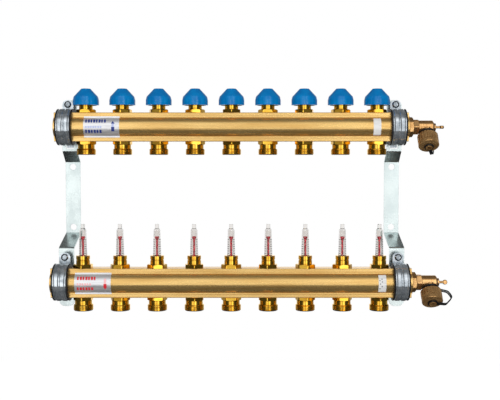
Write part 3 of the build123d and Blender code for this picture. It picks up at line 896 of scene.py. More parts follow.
class Workshop:
    """The finishes and trees, and how a finished piece is handed to the frame."""

    def __init__(self, layout: Layout, finishes: Iterable["Metal | Moulding | Clear | Film"]) -> None:
        """Build every finish and tree once."""
        self.layout = layout
        self.seat_tree = SeatTree()
        self.thread_tree = ThreadTree()
        self.flute_tree = FluteTree()
        self.tick_tree = TickTree()
        self.finish = {finish.name: finish.build() for finish in finishes}

    def hand_over(
        self,
        piece: bpy.types.Object,
        name: str,
        finish: str,
        nodes: Iterable[str] = (),
        body: str = "root",
        bevel: float = 0.0,
    ) -> bpy.types.Object:
        """Shade and paint a piece, and let it ride on its body.

        Args:
            piece: The piece, in its place.
            name: What it is called.
            finish: The name of its finish.
            nodes: The frame's nodes that it stands for.
            body: The body it moves with.
            bevel: How wide its sharp edges are broken.

        Returns:
            The piece.
        """
        piece.name = piece.data.name = name
        if bevel:
            edge = piece.modifiers.new("edges", "BEVEL")
            edge.width = bevel
            edge.segments = 2
            edge.limit_method = "ANGLE"
            edge.angle_limit = BEVEL_ANGLE
            settled(piece)
        piece.data.materials.clear()
        piece.data.materials.append(self.finish[finish])
        piece.data.shade_smooth()
        piece.data.set_sharp_from_angle(angle=SHARP_ANGLE)
        normals = piece.modifiers.new("normals", "WEIGHTED_NORMAL")
        normals.keep_sharp = True
        settled(piece)
        piece.data.name = name
        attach(piece, body)
        if nodes:
            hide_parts(*nodes)
        LOG.info("%s: %d faces on %s", name, len(piece.data.polygons), body)
        return piece

    def seated(
        self,
        fitting: bpy.types.Object,
        seats: bpy.types.Object,
        finish: str,
        first: int = 0,
        turn: float = 0.0,
        axis: Corner = (0, 0, 1),
    ) -> bpy.types.Object:
        """Set a copy of a fitting on every seat.

        Args:
            fitting: The fitting about its own origin, which is used up.
            seats: Points in place.
            finish: The name of its finish.
            first: Which fitting the turning starts from.
            turn: How much further each one is turned, in radians.
            axis: What it is turned about.

        Returns:
            All of them as one mesh.
        """
        values = {"Fitting": fitting, "First_turn": first * turn, "Turn_per_fitting": turn, "Turn_axis": axis}
        placed = self.seat_tree.grow(seats, self.finish[finish], **values)
        bpy.data.objects.remove(fitting)
        return placed

    def threaded(
        self, piece: bpy.types.Object, finish: str, cut: tuple[float, float, float], reach: Point
    ) -> bpy.types.Object:
        """Cut a screw thread into a turned piece.

        Args:
            piece: The piece about its own axis.
            finish: The name of its finish.
            cut: The thread's pitch, its depth and the radius below which nothing is cut.
            reach: Where the thread starts and ends.

        Returns:
            The piece.
        """
        sizes = dict(zip(("Pitch", "Depth", "Core", "Low", "High"), (*cut, *reach)))
        return self.thread_tree.grow(piece, self.finish[finish], **sizes)

    def one_each(self, piece: bpy.types.Object, stem: str, bar: str, finish: str) -> None:
        """Give every circuit a copy of a piece that moves with its own body; the piece is used up."""
        for i in range(self.layout.circuits):
            name = f"{stem}_{i + 1}"
            copy = moved(add_object(name, piece.data.copy()), self.layout.circuit(bar, i))
            self.hand_over(copy, f"{name}_dressed", finish, [name], name)
        bpy.data.objects.remove(piece)

    def repaint(self, node: bpy.types.Object, finish: str) -> None:
        """Give a frame node that stays its finish."""
        node.data.materials.clear()
        node.data.materials.append(self.finish[finish])


@dataclass
class Bar:
    """An extruded bar with a bulge front and back and a pad above and below."""

    half_height: float = 19.75 * MM
    half_depth: float = 19.0 * MM
    pad_half_width: float = 11.0 * MM
    pad_strip: float = 4.6 * MM
    ledge_height: float = 2.5 * MM
    ledge_proud: float = 0.8 * MM
    pad_corner: float = 0.8 * MM
    ledge_corner: float = 0.25 * MM
    bore: float = 14.6 * MM
    thread_radius: float = 15.15 * MM
    thread_length: float = 18.0 * MM
    thread_pitch: float = 2.31 * MM
    thread_depth: float = 0.5 * MM
    port: float = 9.0 * MM
    arc_steps: int = 48

    def front(self, grow: float = 0.0) -> list[Point]:
        """The section's half at +Y, grown all round, as (y, z) points from top to bottom."""
        low = self.half_height - self.pad_strip - self.ledge_height
        sagitta = self.half_depth - self.pad_half_width
        bulge = (low**2 + sagitta**2) / (2 * sagitta)
        centre = self.half_depth - bulge
        top = self.half_height + grow
        high = self.half_height - self.pad_strip + grow
        pad = self.pad_half_width + grow
        ledge = pad + self.ledge_proud
        step = self.ledge_corner
        reach = math.asin((low - grow) / (bulge + grow))
        arc = []
        for k in range(self.arc_steps + 1):
            turn = reach - 2 * reach * k / self.arc_steps
            arc.append((centre + (bulge + grow) * math.cos(turn), (bulge + grow) * math.sin(turn), 0.0))
        above = [
            (pad, top, self.pad_corner + grow),
            (pad, high, 0.0),
            (ledge, high, step),
            (ledge, low - grow, step),
        ]
        below = [(y, -z, r) for y, z, r in reversed(above)]
        return above + arc + below

    def section(self, grow: float = 0.0) -> list[Point]:
        """The whole section as (y, z) points."""
        half = self.front(grow)
        return rounded(half + [(-y, -z, r) for y, z, r in half])

    def build(self, shop: Workshop, bar: str) -> None:
        """Make one bar with its tapped ends and ports."""
        half = shop.layout.half_length
        body = extruded(bar, self.section(), -half, half, "x")
        foot, mouth = half - self.thread_length, half + MM
        wall = ladder(self.thread_radius, foot, mouth, self.thread_pitch / THREAD_ROWS)
        tap_profile = [(0, foot), *[(r, z) for r, z, _ in wall], (0, mouth)]
        for side in (-1, 1):
            tap = lathe("tap", tap_profile, Steps.WIDE_BORE)
            cut = (self.thread_pitch, self.thread_depth, self.bore)
            tap = shop.threaded(tap, "drawn_brass", cut, (foot, mouth))
            combined(body, moved(tap, Matrix.Rotation(side * math.radians(90), 4, "Y")), "DIFFERENCE")
        bore = moved(rod(self.bore, -half, half, Steps.WIDE_BORE), ALONG_X)
        combined(body, bore, "DIFFERENCE")
        across = self.half_height + MM
        places = [Vector((x, 0, 0)) for x in shop.layout.circuit_x]
        ports = [moved(rod(self.port, -across, across), place) for place in places]
        combined(body, joined("ports", ports), "DIFFERENCE")
        moved(body, shop.layout.axis[bar])
        shop.hand_over(body, f"{bar}_bar_dressed", "drawn_brass", [f"{bar}_bar"])


@dataclass
class Bracket:
    """A wall bracket folded from strip: web, upper tab and deeper lower tab."""

    sheet: float = 2.5 * MM
    width: float = 21.0 * MM
    bend: float = 2.0 * MM
    crease: float = 0.3 * MM
    corner: float = 8.0 * MM
    tab_reach: float = 25.607 * MM
    upper_fold: tuple[float, float] = (51.0 * MM, 65.393 * MM)
    lower_fold: tuple[float, float] = (53.0 * MM, 69.593 * MM)
    upper_end: float = 39.007 * MM
    lower_end: float = 37.007 * MM
    wall_hole: float = 4.5 * MM
    hole_spacing: float = 86.3 * MM
    screw_hole: float = 2.55 * MM
    screw_height: float = 32.007 * MM
    slot: tuple[float, float] = (10.6 * MM, 6.6 * MM)
    slot_drop: float = 25.957 * MM
    bevel: float = 0.2 * MM
    corner_steps: int = 10

    def build(self, shop: Workshop, side: str, way: int) -> None:
        """Make the bracket at one end."""
        upper, lower = shop.layout.axis["return"], shop.layout.axis["supply"]
        upper_back = upper.y + self.tab_reach + self.sheet
        lower_back = lower.y + self.tab_reach + self.sheet
        path = [
            (lower_back, lower.z - self.lower_end),
            (lower_back, -self.lower_fold[1]),
            (0.0, -self.lower_fold[0]),
            (0.0, self.upper_fold[0]),
            (upper_back, self.upper_fold[1]),
            (upper_back, upper.z + self.upper_end),
        ]
        outer = self.bend + self.sheet
        back_radii = (0, self.bend, self.bend, self.bend, self.bend, 0)
        front_radii = (0, outer, self.crease, self.crease, outer, 0)
        back = [(*p, r) for p, r in zip(path, back_radii)]
        front = [(*p, r) for p, r in zip(shifted(path, self.sheet), front_radii)]
        half = self.width / 2
        strip = extruded("strip", rounded(back + front[::-1]), -half, half, "x")
        through = 4 * self.sheet
        tools = []
        for way_up in (-1, 1):
            hole = moved(rod(self.wall_hole, -through, through), UP_TO_FRONT)
            tools.append(moved(hole, Vector((0, 0, way_up * self.hole_spacing / 2))))
        for axis, back_y, reach, end in (
            (upper, upper_back, self.upper_end, 1),
            (lower, lower_back, self.lower_end, -1),
        ):
            tapped = moved(rod(self.screw_hole, -through, through, Steps.TAPPED_HOLE), UP_TO_FRONT)
            tools.append(moved(tapped, Vector((0, back_y, axis.z + self.screw_height))))
            wide, high = self.slot[0] / 2, self.slot[1] / 2
            middle = axis.z - self.slot_drop
            near, far = back_y - through, back_y + through
            tools.append(block((-wide, near, middle - high), (wide, far, middle + high)))
            tip = axis.z + end * reach
            for edge in (-1, 1):
                tools.append(self.corner_tool(edge, tip, end, back_y, through))
        combined(strip, joined("holes", tools), "DIFFERENCE")
        moved(strip, Vector((way * shop.layout.clamp_x, 0, 0)))
        name = f"{side}_bracket"
        shop.hand_over(strip, f"{name}_dressed", "zinc_sheet", [name], bevel=self.bevel)

    def corner_tool(self, edge: int, tip: float, end: int, back: float, through: float) -> bpy.types.Object:
        """The waste outside one rounded corner of a tab.

        Args:
            edge: -1 for the tab's left edge, 1 for its right one.
            tip: The height of the tab's end.
            end: 1 where the tab ends upwards, -1 where it ends downwards.
            back: Where the tab's back lies.
            through: How far the tool reaches to both sides of it.

        Returns:
            The cutter.
        """
        half, spare = self.width / 2, MM
        outline = [
            (edge * (half + spare), tip + end * spare),
            (edge * (half + spare), tip - end * self.corner),
        ]
        for k in range(self.corner_steps + 1):
            turn = math.pi / 2 * k / self.corner_steps
            across = half - self.corner + self.corner * math.cos(turn)
            outline.append((edge * across, tip - end * (self.corner - self.corner * math.sin(turn))))
        outline.append((edge * (half - self.corner), tip + end * spare))
        return extruded("corner", outline, back - through, back + through, "y")


@dataclass
class Clamp:
    """A rubber liner, a beaded band hooked at the bottom and a screw through its ear."""

    liner_width: float = 21.5 * MM
    liner_radius: float = 23.107 * MM
    lip_radius: float = 24.907 * MM
    lip: float = 1.9 * MM
    gap: float = 0.05 * MM
    sheet: float = 1.2 * MM
    width: float = 17.4 * MM
    bead_height: float = 0.95 * MM
    bead_width: float = 4.4 * MM
    bead_slope: float = 1.2 * MM
    bead_centre: float = 4.1 * MM
    ear_back: float = 15.207 * MM
    ear_width: float = 15.0 * MM
    ear_top: float = 38.207 * MM
    screw_height: float = 32.007 * MM
    tongue_width: float = 9.4 * MM
    tab_front: float = 25.607 * MM
    tab_sheet: float = 2.5 * MM
    hook_gap: float = 0.3 * MM
    hook_drop: float = 4.2 * MM
    screw: float = 2.5 * MM
    head: float = 4.9 * MM
    head_height: float = 2.9 * MM
    head_rim: float = 1.6 * MM
    head_top: float = 3.05 * MM
    screw_reach: float = 5.0 * MM
    screw_tip: float = 1.5 * MM
    screw_point: float = 1.25 * MM
    screw_play: float = 0.3 * MM
    screw_pitch: float = 0.8 * MM
    screw_thread: float = 0.35 * MM
    screw_row: float = 0.13 * MM
    screw_turn: float = math.radians(31)
    recess: tuple[float, float, float] = (5.2 * MM, 1.1 * MM, 1.6 * MM)
    wrap_end: float = math.radians(270)
    wrap_steps: int = 84

    def band(self) -> bpy.types.Object:
        """The band with its ear and hook, about the bar's axis."""
        inner_r = self.liner_radius + self.gap
        flat = self.bead_width / 2
        foot = flat + self.bead_slope
        high = inner_r + self.bead_height
        right = [
            (self.bead_centre - foot, inner_r),
            (self.bead_centre - flat, high),
            (self.bead_centre + flat, high),
            (self.bead_centre + foot, inner_r),
            (self.width / 2, inner_r, 0.0),
        ]
        inner = [(-c[0], *c[1:]) for c in reversed(right)] + right
        outer = [(c[0], c[1] + self.sheet, *c[2:]) for c in reversed(inner)]
        profile = rounded(inner + outer, 0.7 * MM)
        start = math.acos(self.ear_back / inner_r)
        wrap = turned_arc("band", profile, start, self.wrap_end, self.wrap_steps)
        ear_low = math.sqrt(inner_r**2 - (self.ear_back - self.sheet / 2) ** 2)
        half = self.ear_width / 2
        crown = self.ear_top - self.screw_height
        ear = rounded([
            (-half, ear_low, 0),
            (half, ear_low, 0),
            (half, self.ear_top, crown),
            (-half, self.ear_top, crown),
        ])
        plate = extruded("ear", ear, self.ear_back - self.sheet / 2, self.ear_back + self.sheet / 2, "y")
        hook_start = self.tab_front + self.tab_sheet + self.hook_gap
        top, bottom = -inner_r, -inner_r - self.sheet
        hook_low = bottom - self.hook_drop + self.sheet / 2
        hook = rounded([
            (0.0, top),
            (0.0, bottom),
            (hook_start, bottom),
            (hook_start, hook_low),
            (hook_start + self.sheet, hook_low),
            (hook_start + self.sheet, top, self.sheet),
        ], 0.1 * MM)
        tongue = extruded("tongue", hook, -self.tongue_width / 2, self.tongue_width / 2, "x")
        combined(wrap, plate, "UNION")
        combined(wrap, tongue, "UNION")
        drill = moved(rod(self.screw + self.screw_play, 0, 4 * self.ear_back, Steps.DRILL), UP_TO_BACK)
        return combined(wrap, moved(drill, Vector((0, 0, self.screw_height))), "DIFFERENCE")

    def liner(self) -> bpy.types.Object:
        """The rubber liner about the bar's axis."""
        half = self.liner_width / 2
        profile = rounded([
            (0, -half),
            (self.lip_radius, -half),
            (self.lip_radius, -half + self.lip),
            (self.liner_radius, -half + self.lip),
            (self.liner_radius, half - self.lip),
            (self.lip_radius, half - self.lip),
            (self.lip_radius, half),
            (0, half),
        ], 0.6 * MM, closed=False)
        ring = moved(lathe("liner", profile, Steps.WIDE_PART), ALONG_X)
        core = extruded("core", Bar().section(self.gap), -self.liner_width, self.liner_width, "x")
        return combined(ring, core, "DIFFERENCE")

    def screw_piece(self) -> bpy.types.Object:
        """The pan-head screw, its head towards the front."""
        under = -self.ear_back + self.sheet / 2
        tip = -self.tab_front - self.tab_sheet - self.screw_reach
        top = under + self.head_height
        shaft = ladder(self.screw, tip + self.screw_point, under, self.screw_row)
        profile = rounded([
            (0, tip),
            (self.screw_tip, tip),
            *shaft,
            (self.head, under, 0.2 * MM),
            (self.head, under + self.head_rim, 1.0 * MM),
            (self.head_top, top, 1.2 * MM),
            (0, top),
        ], 0.2 * MM, closed=False)
        body = lathe("screw", profile, Steps.SMALL_PART)
        length, width, depth = self.recess
        for along, across in ((length, width), (width, length)):
            slot = block((-along / 2, -across / 2, top - depth), (along / 2, across / 2, top + depth))
            combined(body, slot, "DIFFERENCE")
        return moved(body, UP_TO_FRONT)

    def build(self, shop: Workshop) -> None:
        """Make the four clamps with their liners and screws."""
        centres = shop.layout.clamps()
        pattern = self.band()
        for name, centre in centres.items():
            band = add_object(name, pattern.data.copy())
            moved(band, centre)
            shop.hand_over(band, f"{name}_clamp_dressed", "zinc_band", [f"{name}_clamp"])
        bpy.data.objects.remove(pattern)
        liners = shop.seated(self.liner(), shop.layout.seats(centres.values()), "rubber")
        shop.hand_over(liners, "clamp_liners_dressed", "rubber", ["clamp_liners"])
        lifted = [centre + Vector((0, 0, self.screw_height)) for centre in centres.values()]
        screw = self.screw_piece()
        cut = (self.screw_pitch, self.screw_thread, CORE_SHARE * self.screw)
        moved(screw, UP_TO_BACK)
        tip = -self.tab_front - self.tab_sheet - self.screw_reach
        screw = shop.threaded(screw, "screw_zinc", cut, (tip, -self.ear_back))
        moved(screw, UP_TO_FRONT)
        turns = {"turn": self.screw_turn, "axis": (0, 1, 0), "first": 1}
        screws = shop.seated(screw, shop.layout.seats(lifted), "screw_zinc", **turns)
        shop.hand_over(screws, "clamp_screws_dressed", "screw_zinc", ["clamp_screws"])


@dataclass
class Fittings:
    """The turned fittings that every circuit has: outlet, bonnet, meter body and glass."""

    bar_top: float = 19.75 * MM
    across_flats: float = 24.0 * MM
    spigot: float = 8.95 * MM
    edge: float = 0.3 * MM
    outlet_hex: float = 4.4 * MM
    outlet_neck: float = 11.5 * MM
    outlet_neck_height: float = 5.6 * MM
    outlet_ring: float = 13.2 * MM
    outlet_ring_height: float = 8.2 * MM
    outlet_bore: float = 7.5 * MM
    outlet_cone: float = 9.4 * MM
    outlet_cone_depth: float = 7.0 * MM
    outlet_chamfer: float = 0.9 * MM
    outlet_pitch: float = 1.81 * MM
    outlet_thread: float = 0.45 * MM
    seat_depth: float = 9.0 * MM
    bonnet_hex: float = 4.5 * MM
    bonnet_neck: float = 9.3 * MM
    bonnet_neck_height: float = 6.5 * MM
    bonnet_thread: float = 14.9 * MM
    bonnet_thread_height: float = 6.5 * MM
    bonnet_pitch: float = 1.5 * MM
    bonnet_groove: float = 0.4 * MM
    bonnet_skin: float = 0.1 * MM
    boss: float = 7.5 * MM
    boss_height: float = 3.0 * MM
    bonnet_spigot: float = 7.5 * MM
    chamber: float = 6.0 * MM
    chamber_roof: float = 12.0 * MM
    guide: float = 2.05 * MM
    seal_width: float = 1.5 * MM
    seal_height: float = 2.0 * MM
    meter_hex: float = 5.0 * MM
    ring: float = 9.25 * MM
    ring_height: float = 11.5 * MM
    groove: tuple[float, float] = (0.7 * MM, 1.2 * MM)
    tube: float = 7.0 * MM
    tube_depth: float = 14.0 * MM
    tube_roof: float = 3.0 * MM
    window: float = 7.0 * MM
    socket: float = 5.45 * MM
    socket_depth: float = 9.0 * MM
    float_guide: float = 1.55 * MM
    glass_foot: float = 5.4 * MM
    glass_head: float = 4.5 * MM
    glass_height: float = 36.7 * MM
    shoulder: float = 2.2 * MM
    nipple: float = 2.75 * MM
    nipple_height: float = 5.8 * MM
    glass_wall: float = 1.1 * MM
    glass_play: float = 0.05 * MM
    glass_roof: float = 0.4 * MM
    ticks: int = 7
    tick_start: float = 3.3 * MM
    tick_pitch: float = 3.05 * MM
    tick_height: float = 0.75 * MM
    tick_proud: float = 0.006
    tick_side: float = math.radians(58)
    tick_reach: float = math.radians(25)
    tick_steps: int = 8

    @property
    def ring_base(self) -> float:
        """Where the meter's ring starts above the bar's axis."""
        return self.bar_top + self.meter_hex

    @property
    def ring_top(self) -> float:
        """Where the meter's ring ends above the bar's axis."""
        return self.ring_base + self.ring_height

    def outlet(self, shop: Workshop) -> bpy.types.Object:
        """One outlet nipple below the bar."""
        hex_base = -self.bar_top - self.outlet_hex
        neck_base = hex_base - self.outlet_neck_height
        ring_base = neck_base - self.outlet_ring_height
        chamfer = self.outlet_chamfer
        row = self.outlet_pitch / THREAD_ROWS
        wall = ladder(self.outlet_ring, ring_base + chamfer, neck_base - chamfer, row)
        profile = rounded([
            (self.outlet_bore, -self.seat_depth),
            (self.outlet_bore, ring_base + self.outlet_cone_depth),
            (self.outlet_cone, ring_base),
            (self.outlet_ring - chamfer, ring_base),
            *wall,
            (self.outlet_ring - chamfer, neck_base),
            (self.outlet_neck, neck_base, 0.6 * MM),
            (self.outlet_neck, hex_base, 0.5 * MM),
            *hex_rise(self.across_flats, hex_base, -self.bar_top, (True, False)),
            (self.spigot, -self.bar_top),
            (self.spigot, -self.seat_depth),
        ], self.edge)
        flats = hexagon(self.across_flats, hex_base, -self.bar_top)
        body = lathe("outlet", profile, Steps.CIRCUIT_FITTING, flats)
        cut = (self.outlet_pitch, self.outlet_thread, self.outlet_neck)
        return shop.threaded(body, "turned_brass", cut, (ring_base, neck_base))

    def bonnet(self, shop: Workshop) -> bpy.types.Object:
        """One valve bonnet above the bar."""
        hex_top = self.bar_top + self.bonnet_hex
        thread_base = hex_top + self.bonnet_neck_height
        boss_base = thread_base + self.bonnet_thread_height
        top = boss_base + self.boss_height
        roof = self.bar_top + self.chamber_roof
        seal_base = roof + self.seal_height
        spigot_base = self.bar_top - self.bonnet_spigot
        wall = ladder(self.bonnet_thread, thread_base, boss_base, self.bonnet_pitch / THREAD_ROWS)
        profile = rounded([
            (self.chamber, spigot_base),
            (self.spigot, spigot_base),
            (self.spigot, self.bar_top),
            *hex_rise(self.across_flats, self.bar_top, hex_top, (False, True)),
            (self.bonnet_neck, hex_top, 0.5 * MM),
            (self.bonnet_neck, thread_base, 0.5 * MM),
            *wall,
            (self.boss, boss_base),
            (self.boss, top),
            (self.guide, top),
            (self.guide, seal_base, 0),
            (self.guide + self.seal_width, seal_base, 0),
            (self.guide + self.seal_width, roof, 0),
            (self.chamber, roof, 0),
        ], self.edge)
        flats = hexagon(self.across_flats, self.bar_top, hex_top)
        body = lathe("bonnet", profile, Steps.CIRCUIT_FITTING, flats)
        cut = (self.bonnet_pitch, self.bonnet_groove, self.bonnet_thread - self.bonnet_skin)
        return shop.threaded(body, "turned_brass", cut, (thread_base, boss_base))

    def meter(self) -> bpy.types.Object:
        """One flow meter body above the bar."""
        depth, height = self.groove
        groove_low = self.ring_base + (self.ring_height - height) / 2
        tube_base = self.bar_top - self.tube_depth
        roof = self.bar_top + self.tube_roof
        floor = self.ring_top - self.socket_depth
        profile = rounded([
            (self.tube, tube_base),
            (self.spigot, tube_base),
            (self.spigot, self.bar_top),
            *hex_rise(self.across_flats, self.bar_top, self.ring_base, (False, True)),
            (self.ring, self.ring_base),
            (self.ring, groove_low),
            (self.ring - depth, groove_low),
            (self.ring - depth, groove_low + height),
            (self.ring, groove_low + height),
            (self.ring, self.ring_top, 0.6 * MM),
            (self.socket, self.ring_top),
            (self.socket, floor, 0),
            (self.float_guide, floor, 0),
            (self.float_guide, roof, 0),
            (self.tube, roof, 0),
        ], self.edge)
        flats = hexagon(self.across_flats, self.bar_top, self.ring_base)
        body = lathe("meter", profile, Steps.CIRCUIT_FITTING, flats)
        half, across = self.window / 2, 2 * self.spigot
        window = block((-half, -across, tube_base - half), (half, across, tube_base + self.window))
        return combined(body, window, "DIFFERENCE")

    def glass(self) -> bpy.types.Object:
        """One sight glass in its meter."""
        top = self.ring_top + self.glass_height
        shoulder = top - self.shoulder
        foot = self.ring_top - self.socket_depth + self.glass_play
        inner = self.glass_head - self.glass_wall
        profile = rounded([
            (0, shoulder - self.glass_roof),
            (inner, shoulder - self.glass_roof, 0.8 * MM),
            (inner, foot),
            (self.glass_foot, foot),
            (self.glass_foot, self.ring_top),
            (self.glass_head, shoulder, 0.8 * MM),
            (self.nipple, top, 0.5 * MM),
            (self.nipple, top + self.nipple_height, 0.6 * MM),
            (0, top + self.nipple_height),
        ], 0.2 * MM, closed=False)
        return lathe("glass", profile, Steps.BORE)

    def scale(self, shop: Workshop) -> bpy.types.Object:
        """The printed marks up both sides of one glass."""
        half, outside = self.tick_height / 2, 1 + self.tick_proud
        marks = []
        for way in (-1, 1):
            start = -math.pi / 2 + way * self.tick_side - self.tick_reach
            steps = range(self.tick_steps + 1)
            arc = [start + 2 * self.tick_reach * k / self.tick_steps for k in steps]
            outline = [(math.cos(a), math.sin(a)) for a in arc]
            outline += [(outside * math.cos(a), outside * math.sin(a)) for a in reversed(arc)]
            marks.append(extruded("mark", outline, -half, half, "z"))
        mark = joined("mark", marks)
        seat = shop.layout.seats([Vector((0, 0, 0))])
        sizes = {
            "Mark": mark,
            "Foot": self.ring_top,
            "Foot_radius": self.glass_foot,
            "Head": self.ring_top + self.glass_height - self.shoulder,
            "Head_radius": self.glass_head,
            "Ticks": self.ticks,
            "First": self.ring_top + self.tick_start,
            "Pitch": self.tick_pitch,
        }
        grown = shop.tick_tree.grow(seat, shop.finish["ink"], **sizes)
        bpy.data.objects.remove(mark)
        return grown

    def build(self, shop: Workshop) -> None:
        """Make every row of fittings."""
        rows = shop.layout.circuit_seats
        brass = "turned_brass"
        for node, fitting, bar, first in (
            ("return_outlets", self.outlet(shop), "return", 0),
            ("supply_outlets", self.outlet(shop), "supply", shop.layout.circuits),
            ("return_bonnets", self.bonnet(shop), "return", 0),
            ("meter_bodies", self.meter(), "supply", shop.layout.circuits),
        ):
            row = shop.seated(fitting, rows(bar), brass, first=first, turn=TIGHTENING)
            shop.hand_over(row, f"{node}_dressed", brass, [node])
        glasses = shop.seated(self.glass(), rows("supply"), "clear_tube")
        shop.hand_over(glasses, "sight_glasses_dressed", "clear_tube", ["sight_glasses"])
        scales = shop.seated(self.scale(shop), rows("supply"), "ink")
        shop.hand_over(scales, "meter_scales", "ink")


@dataclass
class HandCap:
    """A fluted plastic cap with a conical crown, screwed over the bonnet."""

    base: float = 29.95 * MM
    radius: float = 17.75 * MM
    rim_height: float = 7.0 * MM
    height: float = 22.7 * MM
    top_radius: float = 6.4 * MM
    crown_radius: float = 16.6 * MM
    crown_height: float = 11.9 * MM
    flutes: int = 12
    flute: float = 4.6 * MM
    flute_depth: float = 0.45 * MM
    skirt: float = 14.95 * MM
    skirt_depth: float = 11.3 * MM
    roof: float = 5.5 * MM
    inside: float = 8.2 * MM
    rim_low: float = 0.8 * MM
    rim_high: float = 1.6 * MM
    rim_row: float = 1.5 * MM

    def build(self, shop: Workshop) -> None:
        """Make a cap for each circuit."""
        top = self.base + self.height
        ceiling = top - self.roof
        rim_top = self.base + self.rim_height
        rim = ladder(self.radius, self.base + self.rim_low, rim_top - self.rim_high, self.rim_row)
        profile = rounded([
            (0, ceiling),
            (self.inside, ceiling),
            (self.inside, self.base + self.skirt_depth),
            (self.skirt, self.base + self.skirt_depth),
            (self.skirt, self.base),
            (self.radius, self.base, 0.7 * MM),
            *rim,
            (self.radius, rim_top, 4.0 * MM),
            (self.crown_radius, self.base + self.crown_height, 2.5 * MM),
            (self.top_radius, top, 0.8 * MM),
            (0, top),
        ], 0.3 * MM, closed=False)
        cap = lathe("cap", profile, Steps.HAND_CAP)
        sizes = {
            "Count": self.flutes,
            "Flute_radius": self.flute,
            "Flute_centre": self.radius + self.flute - self.flute_depth,
        }
        cap = shop.flute_tree.grow(cap, shop.finish["blue_cap"], Low=self.base, High=top, **sizes)
        shop.one_each(cap, "cap", "return", "blue_cap")


@dataclass
class Pointer:
    """A flow meter's red pointer: funnel head, rod and the disc in the flow."""

    head: float = 61.95 * MM
    head_radius: float = 2.9 * MM
    cone: float = 5.0 * MM
    rod: float = 1.5 * MM
    disc: float = 5.6 * MM
    disc_height: float = 1.6 * MM
    disc_low: float = 9.0 * MM

    def build(self, shop: Workshop) -> None:
        """Make a pointer for each circuit."""
        profile = rounded([
            (0, self.disc_low),
            (self.disc, self.disc_low),
            (self.disc, self.disc_low + self.disc_height),
            (self.rod, self.disc_low + self.disc_height, 0.5 * MM),
            (self.rod, self.head - self.cone, 1.0 * MM),
            (self.head_radius, self.head - self.head_radius / 2),
            (self.head_radius, self.head),
            (self.head_radius - 0.7 * MM, self.head),
            (0.8 * MM, self.head - self.head_radius / 2),
            (0, self.head - self.head_radius / 2),
        ], 0.2 * MM, closed=False)
        pointer = lathe("pointer", profile, Steps.SMALL_PART)
        shop.one_each(pointer, "float", "supply", "red_pointer")


